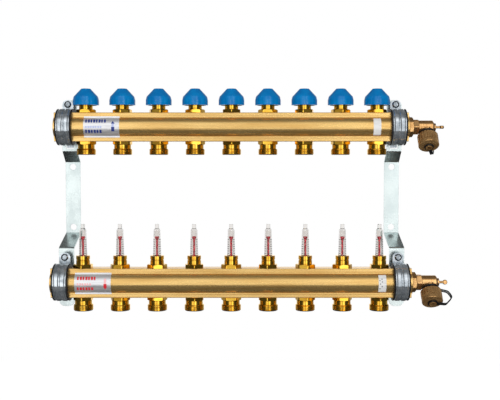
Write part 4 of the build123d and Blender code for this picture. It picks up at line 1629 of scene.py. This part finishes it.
@dataclass
class DrainCock:
    """The drain cock on a bar's right end, with its plug, gland, stem, cap and strap."""

    bar: str
    tilt: float
    quarter: float
    strap_turn: float
    start: float
    plug_length: float = 12.0 * MM
    plug_thread: float = 15.1 * MM
    plug_pitch: float = 2.31 * MM
    plug_groove: float = 0.5 * MM
    flange: float = 16.9 * MM
    flange_width: float = 1.2 * MM
    plug_flats: float = 24.2 * MM
    plug_hex: float = 5.8 * MM
    spigot: float = 7.6 * MM
    spigot_length: float = 9.0 * MM
    fit: float = 0.05 * MM
    seat_gap: float = 0.2 * MM
    cock_flats: float = 20.2 * MM
    cock_hex: float = 7.5 * MM
    cock_turn: float = math.radians(30)
    body: float = 9.25 * MM
    body_length: float = 20.5 * MM
    chamfer: float = 1.4 * MM
    plug: float = 6.0 * MM
    plug_reach: float = 14.0 * MM
    plug_wall: float = 2.2 * MM
    port: float = 3.4 * MM
    stem: float = 3.0 * MM
    gland: float = 5.5 * MM
    gland_width: float = 3.4 * MM
    gland_spigot: float = 4.6 * MM
    gland_depth: float = 3.2 * MM
    seal: float = 6.2 * MM
    seal_width: float = 1.1 * MM
    neck: float = 1.7 * MM
    neck_length: float = 5.2 * MM
    head: float = 3.35 * MM
    flat: float = 4.2 * MM
    outlet_offset: float = 11.5 * MM
    nozzle: float = 8.0 * MM
    nozzle_neck: float = 14.6 * MM
    nozzle_thread: float = 10.4 * MM
    nozzle_end: float = 25.0 * MM
    nozzle_bore: float = 5.4 * MM
    cap: float = 14.0 * MM
    cap_start: float = 14.9 * MM
    cap_end: float = 32.0 * MM
    ribs: int = 20
    rib: float = 1.5 * MM
    rib_depth: float = 0.7 * MM
    rib_end: float = 27.0 * MM
    rib_low: float = 0.6 * MM
    rib_rest: float = 0.3 * MM
    rib_row: float = 1.2 * MM
    cap_chamfer: float = 1.2 * MM
    gasket: float = 1.6 * MM
    boss: float = 4.3 * MM
    boss_lip: float = 4.9 * MM
    boss_height: float = 3.4 * MM
    lip_height: float = 0.8 * MM
    key: float = 4.4 * MM
    key_depth: float = 6.0 * MM
    ring: float = 2.6 * MM
    ring_radius: float = 11.4 * MM
    ring_start: float = 9.6 * MM
    boss_ring: float = 6.6 * MM
    strap_sheet: float = 1.3 * MM
    strap_width: float = 4.6 * MM
    slit: float = 1.9 * MM
    bulge: float = 28.5 * MM
    strap_bend: float = 5.0 * MM
    strap_bevel: float = 0.15 * MM
    ball_steps: int = 24

    @property
    def face(self) -> float:
        """Where the end plug's hexagon ends."""
        return self.start + self.flange_width + self.plug_hex

    @property
    def body_start(self) -> float:
        """Where the cock's round body starts."""
        return self.face + self.cock_hex

    @property
    def body_end(self) -> float:
        """Where the cock's round body ends."""
        return self.body_start + self.body_length

    def on_bar(self, shop: Workshop) -> Matrix:
        """From heights along the bar's axis to their place."""
        return Matrix.Translation(shop.layout.axis[self.bar]) @ ALONG_X

    def on_outlet(self, shop: Workshop) -> Matrix:
        """From heights along the tilted outlet to their place."""
        sine, cosine = math.sin(self.tilt), math.cos(self.tilt)
        turn = Matrix(((1, 0, 0, 0), (0, -cosine, -sine, 0), (0, sine, -cosine, 0), (0, 0, 0, 1)))
        return Matrix.Translation(shop.layout.axis[self.bar] + Vector((self.outlet_x, 0, 0))) @ turn

    @property
    def outlet_x(self) -> float:
        """Where the outlet leaves the body."""
        return self.body_start + self.outlet_offset

    def end_plug(self, shop: Workshop) -> None:
        """The reducing plug in the bar's end."""
        low = self.start - self.plug_length
        flange = self.start + self.flange_width
        bore = self.spigot + self.fit
        wall = ladder(self.plug_thread, low, self.start, self.plug_pitch / THREAD_ROWS)
        profile = rounded([
            (bore, low),
            *wall,
            (self.flange, self.start, 0.2 * MM),
            (self.flange, flange, 0.5 * MM),
            *hex_rise(self.plug_flats, flange, self.face, (False, True)),
            (bore, self.face),
        ], 0.3 * MM)
        plug = lathe("plug", profile, Steps.WIDE_PART, hexagon(self.plug_flats, flange, self.face))
        cut = (self.plug_pitch, self.plug_groove, CORE_SHARE * self.plug_thread)
        plug = shop.threaded(plug, "bronze", cut, (low, self.start))
        name = f"{self.bar}_end_plug"
        shop.hand_over(moved(plug, self.on_bar(shop)), f"{name}_dressed", "bronze", [name])

    def cock(self, shop: Workshop) -> None:
        """The cock's body with its hexagon and tilted nozzle."""
        low = self.face - self.spigot_length
        outside = rounded([
            (0, low),
            (self.spigot, low),
            (self.spigot, self.face),
            *hex_rise(self.cock_flats, self.face, self.body_start, (True, True)),
            (self.body, self.body_start, 0.5 * MM),
            (self.body, self.body_end - self.chamfer, 0.5 * MM),
            (self.body - self.chamfer, self.body_end),
            (0, self.body_end),
        ], 0.3 * MM, closed=False)
        flats = hexagon(self.cock_flats, self.face, self.body_start)
        body = lathe("cock", outside, Steps.WIDE_PART, flats)
        moved(body, self.on_bar(shop) @ Matrix.Rotation(self.cock_turn, 4, "Z"))
        neck = rounded([
            (0, 0),
            (self.nozzle, 0),
            (self.nozzle, self.nozzle_neck, 0.4 * MM),
            (self.nozzle_thread, self.nozzle_neck),
            (self.nozzle_thread, self.nozzle_end, 0.9 * MM),
            (0, self.nozzle_end),
        ], 0.3 * MM, closed=False)
        combined(body, moved(lathe("neck", neck, Steps.WIDE_BORE), self.on_outlet(shop)), "UNION")
        plug_end = self.body_start + self.plug_reach + self.seat_gap
        step = self.body_end - self.gland_depth - self.fit
        hollow = [
            (0, low - MM),
            (self.plug + self.fit, low - MM),
            (self.plug + self.fit, plug_end),
            (self.stem + self.fit, plug_end),
            (self.stem + self.fit, step),
            (self.gland_spigot + self.fit, step),
            (self.gland_spigot + self.fit, self.body_end + MM),
            (0, self.body_end + MM),
        ]
        combined(body, moved(lathe("hollow", hollow, Steps.PART), self.on_bar(shop)), "DIFFERENCE")
        passage = rod(self.nozzle_bore, 0, self.nozzle_end + MM)
        combined(body, moved(passage, self.on_outlet(shop)), "DIFFERENCE")
        name = f"{self.bar}_drain_body"
        shop.hand_over(body, f"{name}_dressed", "bronze_x", [name])

    def turning_parts(self, shop: Workshop) -> None:
        """The stem in one piece with its turning plug."""
        plug_start = self.body_start + self.seat_gap
        plug_end = self.body_start + self.plug_reach
        gland_end = self.body_end + self.gland_width
        centre = gland_end + self.neck_length + self.head
        turns = [math.pi * k / self.ball_steps for k in range(4, self.ball_steps)]
        ball = [(self.head * math.sin(turn), centre - self.head * math.cos(turn)) for turn in turns]
        ball.append((0, centre + self.head))
        profile = [
            (0, plug_end - self.plug_wall),
            (self.plug - self.plug_wall, plug_end - self.plug_wall),
            (self.plug - self.plug_wall, plug_start),
            (self.plug, plug_start),
            (self.plug, plug_end),
            (self.stem, plug_end),
            (self.stem, gland_end),
            (self.neck, gland_end + self.seat_gap),
            *ball,
        ]
        stem = lathe("stem", profile, Steps.PART)
        for vertex in stem.data.vertices:
            if vertex.co.z > gland_end + self.neck_length:
                vertex.co.x = max(-self.flat / 2, min(self.flat / 2, vertex.co.x))
        axis = shop.layout.axis[self.bar]
        quarter = Matrix.Translation(axis) @ Matrix.Rotation(self.quarter, 4, "X")
        port = moved(rod(self.port, 0, 2 * self.plug), self.on_outlet(shop))
        moved(port, quarter @ Matrix.Translation(-axis))
        combined(moved(stem, quarter @ ALONG_X), port, "DIFFERENCE")
        name = f"{self.bar}_drain_stem"
        shop.hand_over(stem, f"{name}_dressed", "bronze_x", [name], name)

    def gland_parts(self) -> tuple[bpy.types.Object, bpy.types.Object]:
        """The gland nut and its seal, about the bar's axis as heights."""
        gland_end = self.body_end + self.gland_width
        collar = self.body_end + self.seal_width
        nut = lathe("gland", rounded([
            (self.stem + self.fit, self.body_end - self.gland_depth),
            (self.gland_spigot, self.body_end - self.gland_depth),
            (self.gland_spigot, collar),
            (self.gland, collar),
            (self.gland, gland_end, 0.5 * MM),
            (self.stem + self.fit, gland_end),
        ], 0.2 * MM), Steps.PART)
        seal = lathe("seal", rounded([
            (self.gland_spigot + self.fit, self.body_end + self.fit),
            (self.seal, self.body_end + self.fit, 0.4 * MM),
            (self.seal, collar - self.fit, 0.4 * MM),
            (self.gland_spigot + self.fit, collar - self.fit),
        ], 0.1 * MM), Steps.PART)
        return nut, seal

    def screw_cap(self, shop: Workshop) -> None:
        """The ribbed cap with its boss and square key socket."""
        thread = self.nozzle_thread + self.fit
        floor = self.nozzle_end + self.gasket + 2 * self.fit
        top = self.cap_end + self.boss_height
        wall = ladder(self.cap, self.cap_start + self.rib_low, self.rib_end, self.rib_row)
        profile = rounded([
            (0, floor),
            (thread, floor),
            (thread, self.cap_start),
            (self.cap, self.cap_start, 0.5 * MM),
            *wall,
            (self.cap, self.rib_end + self.rib_rest, 0),
            (self.cap, self.cap_end, self.cap_chamfer),
            (self.boss, self.cap_end, 0.5 * MM),
            (self.boss, top - self.lip_height),
            (self.boss_lip, top - self.lip_height),
            (self.boss_lip, top),
            (0, top),
        ], 0.25 * MM, closed=False)
        cap = lathe("cap", profile, Steps.RIBBED_CAP)
        centre = self.cap + self.rib - self.rib_depth
        sizes = {"Count": self.ribs, "Flute_radius": self.rib, "Flute_centre": centre}
        reach = {"Low": self.cap_start, "High": self.rib_end}
        cap = shop.flute_tree.grow(cap, shop.finish["dark_bronze"], **sizes, **reach)
        half = self.key / 2
        combined(cap, block((-half, -half, top - self.key_depth), (half, half, top + MM)), "DIFFERENCE")
        name = f"{self.bar}_drain_cap"
        moved(cap, self.on_outlet(shop))
        shop.hand_over(cap, f"{name}_dressed", "dark_bronze", [name], name)

    def strap(self, shop: Workshop) -> None:
        """The moulded strap that keeps the cap, with a ring round the nozzle and one round the boss."""
        ring_mid = self.ring_start + self.ring / 2
        boss_mid = self.cap_end + self.seat_gap + self.ring / 2
        path = [
            (self.ring_radius - self.strap_sheet, ring_mid, 0),
            (self.bulge - self.strap_bend, ring_mid + self.strap_bend / 2),
            (self.bulge, (ring_mid + boss_mid) / 2),
            (self.bulge - 2 * self.strap_bend, boss_mid),
            (self.boss_ring - self.strap_sheet / 2, boss_mid, 0),
        ]
        line = rounded(path, self.strap_bend, closed=False)
        side = self.strap_sheet / 2
        outline = shifted(line, side) + shifted(line, -side)[::-1]
        link = extruded("link", outline, -self.strap_width / 2, self.strap_width / 2, "y")
        slit_low, slit_high = ring_mid, boss_mid - self.ring
        far = self.ring_radius + self.ring
        slit = block((far, -self.slit / 2, slit_low), (far + 2 * self.bulge, self.slit / 2, slit_high))
        combined(link, slit, "DIFFERENCE")
        for radius, hole, middle in (
            (self.ring_radius, self.nozzle + self.seat_gap, ring_mid),
            (self.boss_ring, self.boss_lip + self.seat_gap, boss_mid),
        ):
            low, high = middle - self.ring / 2, middle + self.ring / 2
            profile = rounded([(hole, low), (radius, low), (radius, high), (hole, high)], 0.8 * MM)
            combined(link, lathe("ring", profile, Steps.PART), "UNION")
        moved(link, self.on_outlet(shop) @ Matrix.Rotation(self.strap_turn, 4, "Z"))
        name = f"{self.bar}_drain_strap"
        shop.hand_over(
            link, f"{name}_dressed", "black_strap", [name], name, bevel=self.strap_bevel
        )

    def build(self, shop: Workshop) -> tuple[bpy.types.Object, bpy.types.Object]:
        """Make the cock; its gland nut and seal are returned in place, to be joined with the other's."""
        self.end_plug(shop)
        self.cock(shop)
        self.turning_parts(shop)
        self.screw_cap(shop)
        self.strap(shop)
        nut, seal = self.gland_parts()
        return moved(nut, self.on_bar(shop)), moved(seal, self.on_bar(shop))


@dataclass
class FrontFilm:
    """A thin label on a bar's front that follows its bulge."""

    bar: str
    finish: str
    slot: str
    half_height: float
    gap: float = 0.02 * MM
    thickness: float = 0.25 * MM

    def film(self, shop: Workshop, low: float, high: float) -> bpy.types.Object:
        """The film between two places along the bar."""
        inner = self.face(self.gap)
        outer = self.face(self.gap + self.thickness)
        film = extruded("film", inner + outer[::-1], low, high, "x")
        return moved(film, shop.layout.axis[self.bar])

    def face(self, grow: float) -> list[Point]:
        """The grown bar's front between the film's edges."""
        front = [(-y, z) for y, z in rounded(Bar().front(grow), closed=False)]
        kept = [p for p in front if abs(p[1]) < self.half_height]
        edge = kept[0][0]
        return [(edge, self.half_height), *kept, (edge, -self.half_height)]


@dataclass(frozen=True)
class Print:
    """A label's print, in millimetres from its left edge and the bar's middle.

    Each line is a row of plain bars: its left end, base, height, width and number of bars.
    """

    lines: tuple[tuple[float, float, float, float, int], ...]
    arrow: tuple[float, float, float]
    block: tuple[float, float]
    dash: tuple[float, float]
    ink: Colour
    pale: Colour
    up: bool
    head: float = 5.2
    block_width: float = 4.2
    inset: float = 0.5
    bar_shares: tuple[float, float] = (0.62, 0.75)

    def marks(self) -> tuple[Mark, ...]:
        """Every printed field; the second line and the arrow's stem are faint."""
        fields = []
        for row, (left, base, height, width, count) in enumerate(self.lines):
            step = width / (count - 1 + self.bar_shares[1])
            ink = self.pale if row == 1 else self.ink
            for k in range(count):
                fields.append((left + step * k, base, self.bar_shares[k % 2] * step, height, ink, 0))
        middle, low, high = self.arrow
        side = middle - self.block_width / 2
        fields.append((middle - self.head / 2, low, self.head, high - low, self.ink, 1 if self.up else -1))
        for (base, top), inset, ink in ((self.block, 0.0, self.ink), (self.dash, self.inset, self.pale)):
            fields.append((side + inset, base, self.block_width - 2 * inset, top - base, ink, 0))
        return tuple(Mark(*(value * MM for value in field[:4]), *field[4:]) for field in fields)


RETURN_PRINT = Print(
    lines=((2.6, 5.6, 4.3, 28.0, 8), (2.8, -1.8, 3.0, 22.4, 7), (2.6, -8.4, 4.3, 22.2, 6)),
    arrow=(40.1, 4.2, 7.8),
    block=(-6.2, -0.3),
    dash=(-0.3, 4.2),
    ink=srgb(32, 50, 122),
    pale=srgb(176, 186, 224),
    up=True,
)
SUPPLY_PRINT = Print(
    lines=((3.6, 5.4, 4.1, 25.0, 7), (3.6, -1.8, 3.0, 19.0, 6), (3.4, -8.4, 4.1, 21.8, 6)),
    arrow=(41.1, -7.4, -3.8),
    block=(-3.8, 0.3),
    dash=(0.3, 7.2),
    ink=srgb(206, 30, 44),
    pale=srgb(240, 184, 186),
    up=False,
)

STICKER_SPANS = {"return": (193.0 * MM, 203.3 * MM), "supply": (196.7 * MM, 207.0 * MM)}
STICKER_HALF_HEIGHT = 11.4 * MM
STICKERS_WIDTH = 14.0 * MM
STICKER_SPOTS = ((7.4, 5.6), (4.6, 4.0), (7.8, 2.2), (5.2, -0.6), (7.6, -4.0), (4.8, -7.2))
SPOT_SIZE = 1.5 * MM
SPOT_INK = srgb(96, 96, 100)
SILVER = (srgb(238, 238, 240), srgb(214, 214, 218), 0.66, 0.3)
WHITE = (srgb(226, 226, 224), srgb(206, 206, 206), 0.0, 0.4)

FINISHES: list[Metal | Moulding | Clear] = [
    Metal("drawn_brass", srgb(242, 203, 130), srgb(219, 175, 102), Grain.DRAWN, (0.22, 0.32), 0.006 * MM,
          (14.0, 160.0, 160.0), 0.84),
    Metal("turned_brass", srgb(255, 208, 84), srgb(226, 168, 50), Grain.TURNED_Z, (0.1, 0.18), 0.002 * MM),
    Metal("bronze", srgb(236, 190, 128), srgb(192, 142, 84), Grain.CAST, (0.2, 0.34), 0.012 * MM,
          metallic=0.9),
    Metal("bronze_x", srgb(232, 184, 124), srgb(190, 140, 84), Grain.TURNED_X, (0.16, 0.28), 0.006 * MM,
          metallic=0.9),
    Metal("dark_bronze", srgb(228, 182, 122), srgb(168, 124, 74), Grain.CAST, (0.2, 0.34), 0.02 * MM,
          metallic=0.76),
    Metal("zinc_sheet", srgb(224, 234, 233), srgb(208, 220, 220), Grain.CAST, (0.24, 0.32), 0.006 * MM,
          (40.0, 40.0, 30.0)),
    Metal("zinc_band", srgb(214, 221, 227), srgb(156, 165, 172), Grain.ROLLED, (0.1, 0.18), 0.006 * MM,
          (60.0, 160.0, 160.0), 0.8),
    Metal("screw_zinc", srgb(184, 192, 198), srgb(128, 136, 142), Grain.CAST, (0.1, 0.2), 0.006 * MM),
    Metal("steel", srgb(200, 204, 208), srgb(160, 164, 168), Grain.TURNED_Z, (0.2, 0.3), 0.005 * MM),
    Moulding("blue_cap", srgb(2, 119, 184), srgb(1, 106, 172), 0.12, gloss=0.3),
    Moulding("red_pointer", srgb(222, 34, 56), srgb(196, 20, 44), 0.3, 0.3),
    Moulding("rubber", srgb(30, 30, 33), srgb(20, 20, 22), 0.55),
    Moulding("black_strap", srgb(26, 26, 28), srgb(16, 16, 18), 0.35),
    Moulding("ink", srgb(44, 44, 46), srgb(36, 36, 38), 0.5),
    Clear("clear_tube", srgb(234, 231, 228)),
]


def film_finishes(layout: Layout) -> list[Film]:
    """The printed finishes of the labels and the stickers.

    Args:
        layout: The frame's places.

    Returns:
        The finishes.
    """
    films = []
    for bar, design in (("return", RETURN_PRINT), ("supply", SUPPLY_PRINT)):
        low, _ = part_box(f"{bar}_label")
        films.append(Film(f"{bar}_label_print", low.x, layout.axis[bar].z, *SILVER, design.marks()))
    spots = tuple(Mark(a * MM, b * MM, SPOT_SIZE, SPOT_SIZE, SPOT_INK) for a, b in STICKER_SPOTS)
    _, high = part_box("bar_stickers")
    films.append(Film("sticker_print", high.x - STICKERS_WIDTH, layout.axis["supply"].z, *WHITE, spots))
    return films


def dress_films(shop: Workshop) -> None:
    """Make both labels and the stickers."""
    for bar in ("return", "supply"):
        node = f"{bar}_label"
        low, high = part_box(node)
        label = FrontFilm(bar, f"{node}_print", "silver_film", (high.z - low.z) / 2)
        piece = label.film(shop, low.x, high.x)
        shop.hand_over(piece, f"{node}_dressed", label.finish, [node])
    pieces = []
    for bar, (low, high) in STICKER_SPANS.items():
        sticker = FrontFilm(bar, "sticker_print", "white_film", STICKER_HALF_HEIGHT)
        pieces.append(sticker.film(shop, low, high))
    stickers = joined("stickers", pieces)
    shop.hand_over(stickers, "bar_stickers_dressed", sticker.finish, ["bar_stickers"])


@dataclass(frozen=True)
class Lamp:
    """A soft area lamp that looks at the object's middle and shows in no reflection."""

    name: str
    place: tuple[float, float, float]
    size: tuple[float, float]
    power: float

    def build(self) -> None:
        """Hang the lamp."""
        data = bpy.data.lights.new(self.name, "AREA")
        data.shape = "RECTANGLE"
        data.size, data.size_y = self.size
        data.energy = self.power
        lamp = bpy.data.objects.new(self.name, data)
        lamp.location = self.place
        lamp.rotation_euler = (-Vector(self.place)).to_track_quat("-Z", "Y").to_euler()
        lamp.visible_glossy = False
        bpy.context.scene.collection.objects.link(lamp)


@dataclass(frozen=True)
class Studio:
    """A plain white room: soft world light, two soft lamps, a pale floor and the camera.

    Each box of light is a compass angle from the front, its half width, its soft rim and its power.
    The heights are where the boxes start, are full, start to fade and end, in degrees. Each reach is
    where a light starts and is full, on one axis of its direction. The rear glow starts to fade and
    ends at the two heights of rear_fade.
    """

    boxes: tuple[tuple[float, float, float, float], ...] = (
        (0.0, 12.0, 34.0, 0.8),
        (-17.0, 4.0, 7.0, 0.75),
        (20.0, 4.0, 7.0, 1.4),
    )
    heights: tuple[float, float, float, float] = (-80.0, -22.0, 34.0, 80.0)
    dim: float = 0.06
    sky: float = 0.05
    backdrop: float = 0.8
    rear: float = 0.3
    shade: float = 0.55
    fill: float = 0.62
    edge: float = 0.72
    sky_reach: Point = (0.2, 0.9)
    backdrop_reach: Point = (0.8, 0.97)
    rear_reach: Point = (-0.1, 0.6)
    rear_fade: Point = (0.3, 0.6)
    front_reach: Point = (-0.6, 0.8)
    edge_reach: Point = (0.55, 0.93)
    floor_half: float = 1.6
    floor_level: float = -0.62
    floor_colour: float = 0.86
    floor_glow: float = 0.6
    floor_mirrored: float = 0.03
    lens: float = 61.2
    eye: tuple[float, float, float] = (0.0254, -1.22, 0.0541)
    eye_tilt: float = math.radians(90 - 2.75)
    lamps: tuple[Lamp, ...] = (
        Lamp("key", (0.4, -1.7, 0.3), (0.9, 0.6), 13.0),
        Lamp("fill", (-1.0, -1.1, 0.8), (0.6, 0.9), 4.0),
    )

    def world(self) -> None:
        """White behind the object.

        Reflections see three soft boxes in front, dim sides, a faint glow at the back near the
        horizon, and the white backdrop straight behind the object.
        """
        world = bpy.data.worlds.new("studio")
        bpy.context.scene.world = world
        world.use_nodes = True
        graph = Graph(world.node_tree)
        world.node_tree.nodes.clear()
        x, y, z = graph.parts(graph.wire("ShaderNodeTexCoord", out="Generated"))
        azimuth = graph.maths("ARCTAN2", x, 0.0 - y)
        mirrored = self.dim
        for middle, half, soft, power in self.boxes:
            off = graph.maths("ABSOLUTE", azimuth - math.radians(middle))
            inside = 1.0 - graph.ramp(off, math.radians(half), math.radians(half + soft))
            mirrored = mirrored + power * inside
        low, low_full, high_full, high = (math.sin(math.radians(angle)) for angle in self.heights)
        upright = graph.ramp(z, low, low_full) * (1.0 - graph.ramp(z, high_full, high))
        mirrored = self.dim + (mirrored - self.dim) * upright + self.sky * graph.ramp(z, *self.sky_reach)
        mirrored = mirrored + self.backdrop * graph.ramp(y, *self.backdrop_reach)
        level = 1.0 - graph.ramp(graph.maths("ABSOLUTE", z), *self.rear_fade)
        mirrored = mirrored + self.rear * level * graph.ramp(y, *self.rear_reach)
        diffuse = self.shade + (1.0 - self.shade) * graph.ramp(0.0 - y, *self.front_reach)
        depth = graph.maths("ABSOLUTE", y)
        behind = self.edge + (1.0 - self.edge) * graph.ramp(depth, *self.edge_reach)
        rays = graph.node("ShaderNodeLightPath")
        glossy = Wire(graph, rays.outputs["Is Glossy Ray"])
        through = Wire(graph, rays.outputs["Is Transmission Ray"])
        seen = Wire(graph, rays.outputs["Is Camera Ray"])
        glow = diffuse * self.fill + glossy * (mirrored - diffuse * self.fill)
        glow = glow + through * (behind - glow)
        strength = glow + seen * (1.0 - glow)
        light = {"Color": (1.0, 1.0, 1.0), "Strength": strength}
        background = graph.wire("ShaderNodeBackground", None, light)
        output = graph.node("ShaderNodeOutputWorld")
        world.node_tree.links.new(background.socket, output.inputs["Surface"])

    def floor(self) -> None:
        """A floor well below the object: white to the camera, but for its shadow, and dark in mirrors."""
        signs = ((-1, -1), (1, -1), (1, 1), (-1, 1))
        corners = [(a * self.floor_half, b * self.floor_half, self.floor_level) for a, b in signs]
        floor = from_faces("floor", corners, [(0, 1, 2, 3)])
        paint = Paint("pale_floor")
        rays = paint.node("ShaderNodeLightPath")
        glossy = Wire(paint, rays.outputs["Is Glossy Ray"])
        seen = Wire(paint, rays.outputs["Is Camera Ray"]) + Wire(paint, rays.outputs["Is Transmission Ray"])
        paint.set(
            Base_Color=paint.blend(glossy, (self.floor_colour,) * 3, (self.floor_mirrored,) * 3),
            Roughness=0.8,
            Emission_Color=paint.blend(seen, (0.0, 0.0, 0.0), (self.floor_glow,) * 3),
            Emission_Strength=1.0,
        )
        floor.data.materials.append(paint.material)

    def camera(self) -> None:
        """The photograph's view."""
        data = bpy.data.cameras.new("camera")
        data.sensor_width = 36.0
        data.lens = self.lens
        camera = bpy.data.objects.new("camera", data)
        camera.location = self.eye
        camera.rotation_euler = (self.eye_tilt, 0, 0)
        bpy.context.scene.collection.objects.link(camera)
        bpy.context.scene.camera = camera

    def build(self) -> None:
        """Set up the room."""
        self.world()
        self.floor()
        self.camera()
        for lamp in self.lamps:
            lamp.build()
        bpy.context.scene.view_settings.view_transform = "Standard"


def main() -> None:
    """Load the frame, dress every piece and set up the studio."""
    logging.basicConfig(level=logging.INFO, format="%(message)s")
    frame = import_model()
    layout = Layout(frame["nodes"])
    shop = Workshop(layout, FINISHES + film_finishes(layout))
    Studio().build()

    for bar in ("return", "supply"):
        Bar().build(shop, bar)
    for side, way in (("left", -1), ("right", 1)):
        Bracket().build(shop, side, way)
    Clamp().build(shop)
    Fittings().build(shop)
    HandCap().build(shop)
    Pointer().build(shop)

    half = layout.half_length
    cocks = [
        DrainCock("return", math.radians(35), 0.0, math.radians(-68), half),
        DrainCock("supply", math.radians(42), math.radians(90), math.radians(-8), half),
    ]
    nuts, seals = zip(*[cock.build(shop) for cock in cocks])
    shop.hand_over(joined("nuts", nuts), "drain_glands_dressed", "bronze_x", ["drain_glands"])
    shop.hand_over(joined("seals", seals), "drain_seals_dressed", "rubber", ["drain_seals"])

    dress_films(shop)

    for name, node in frame["nodes"].items():
        if name.startswith("spindle_") and name != "spindle_seals":
            shop.repaint(node, "steel")
    shop.repaint(frame["nodes"]["spindle_seals"], "rubber")
    for bar in ("return", "supply"):
        shop.repaint(frame["nodes"][f"{bar}_drain_gasket"], "rubber")


if __name__ == "__main__":
    main()
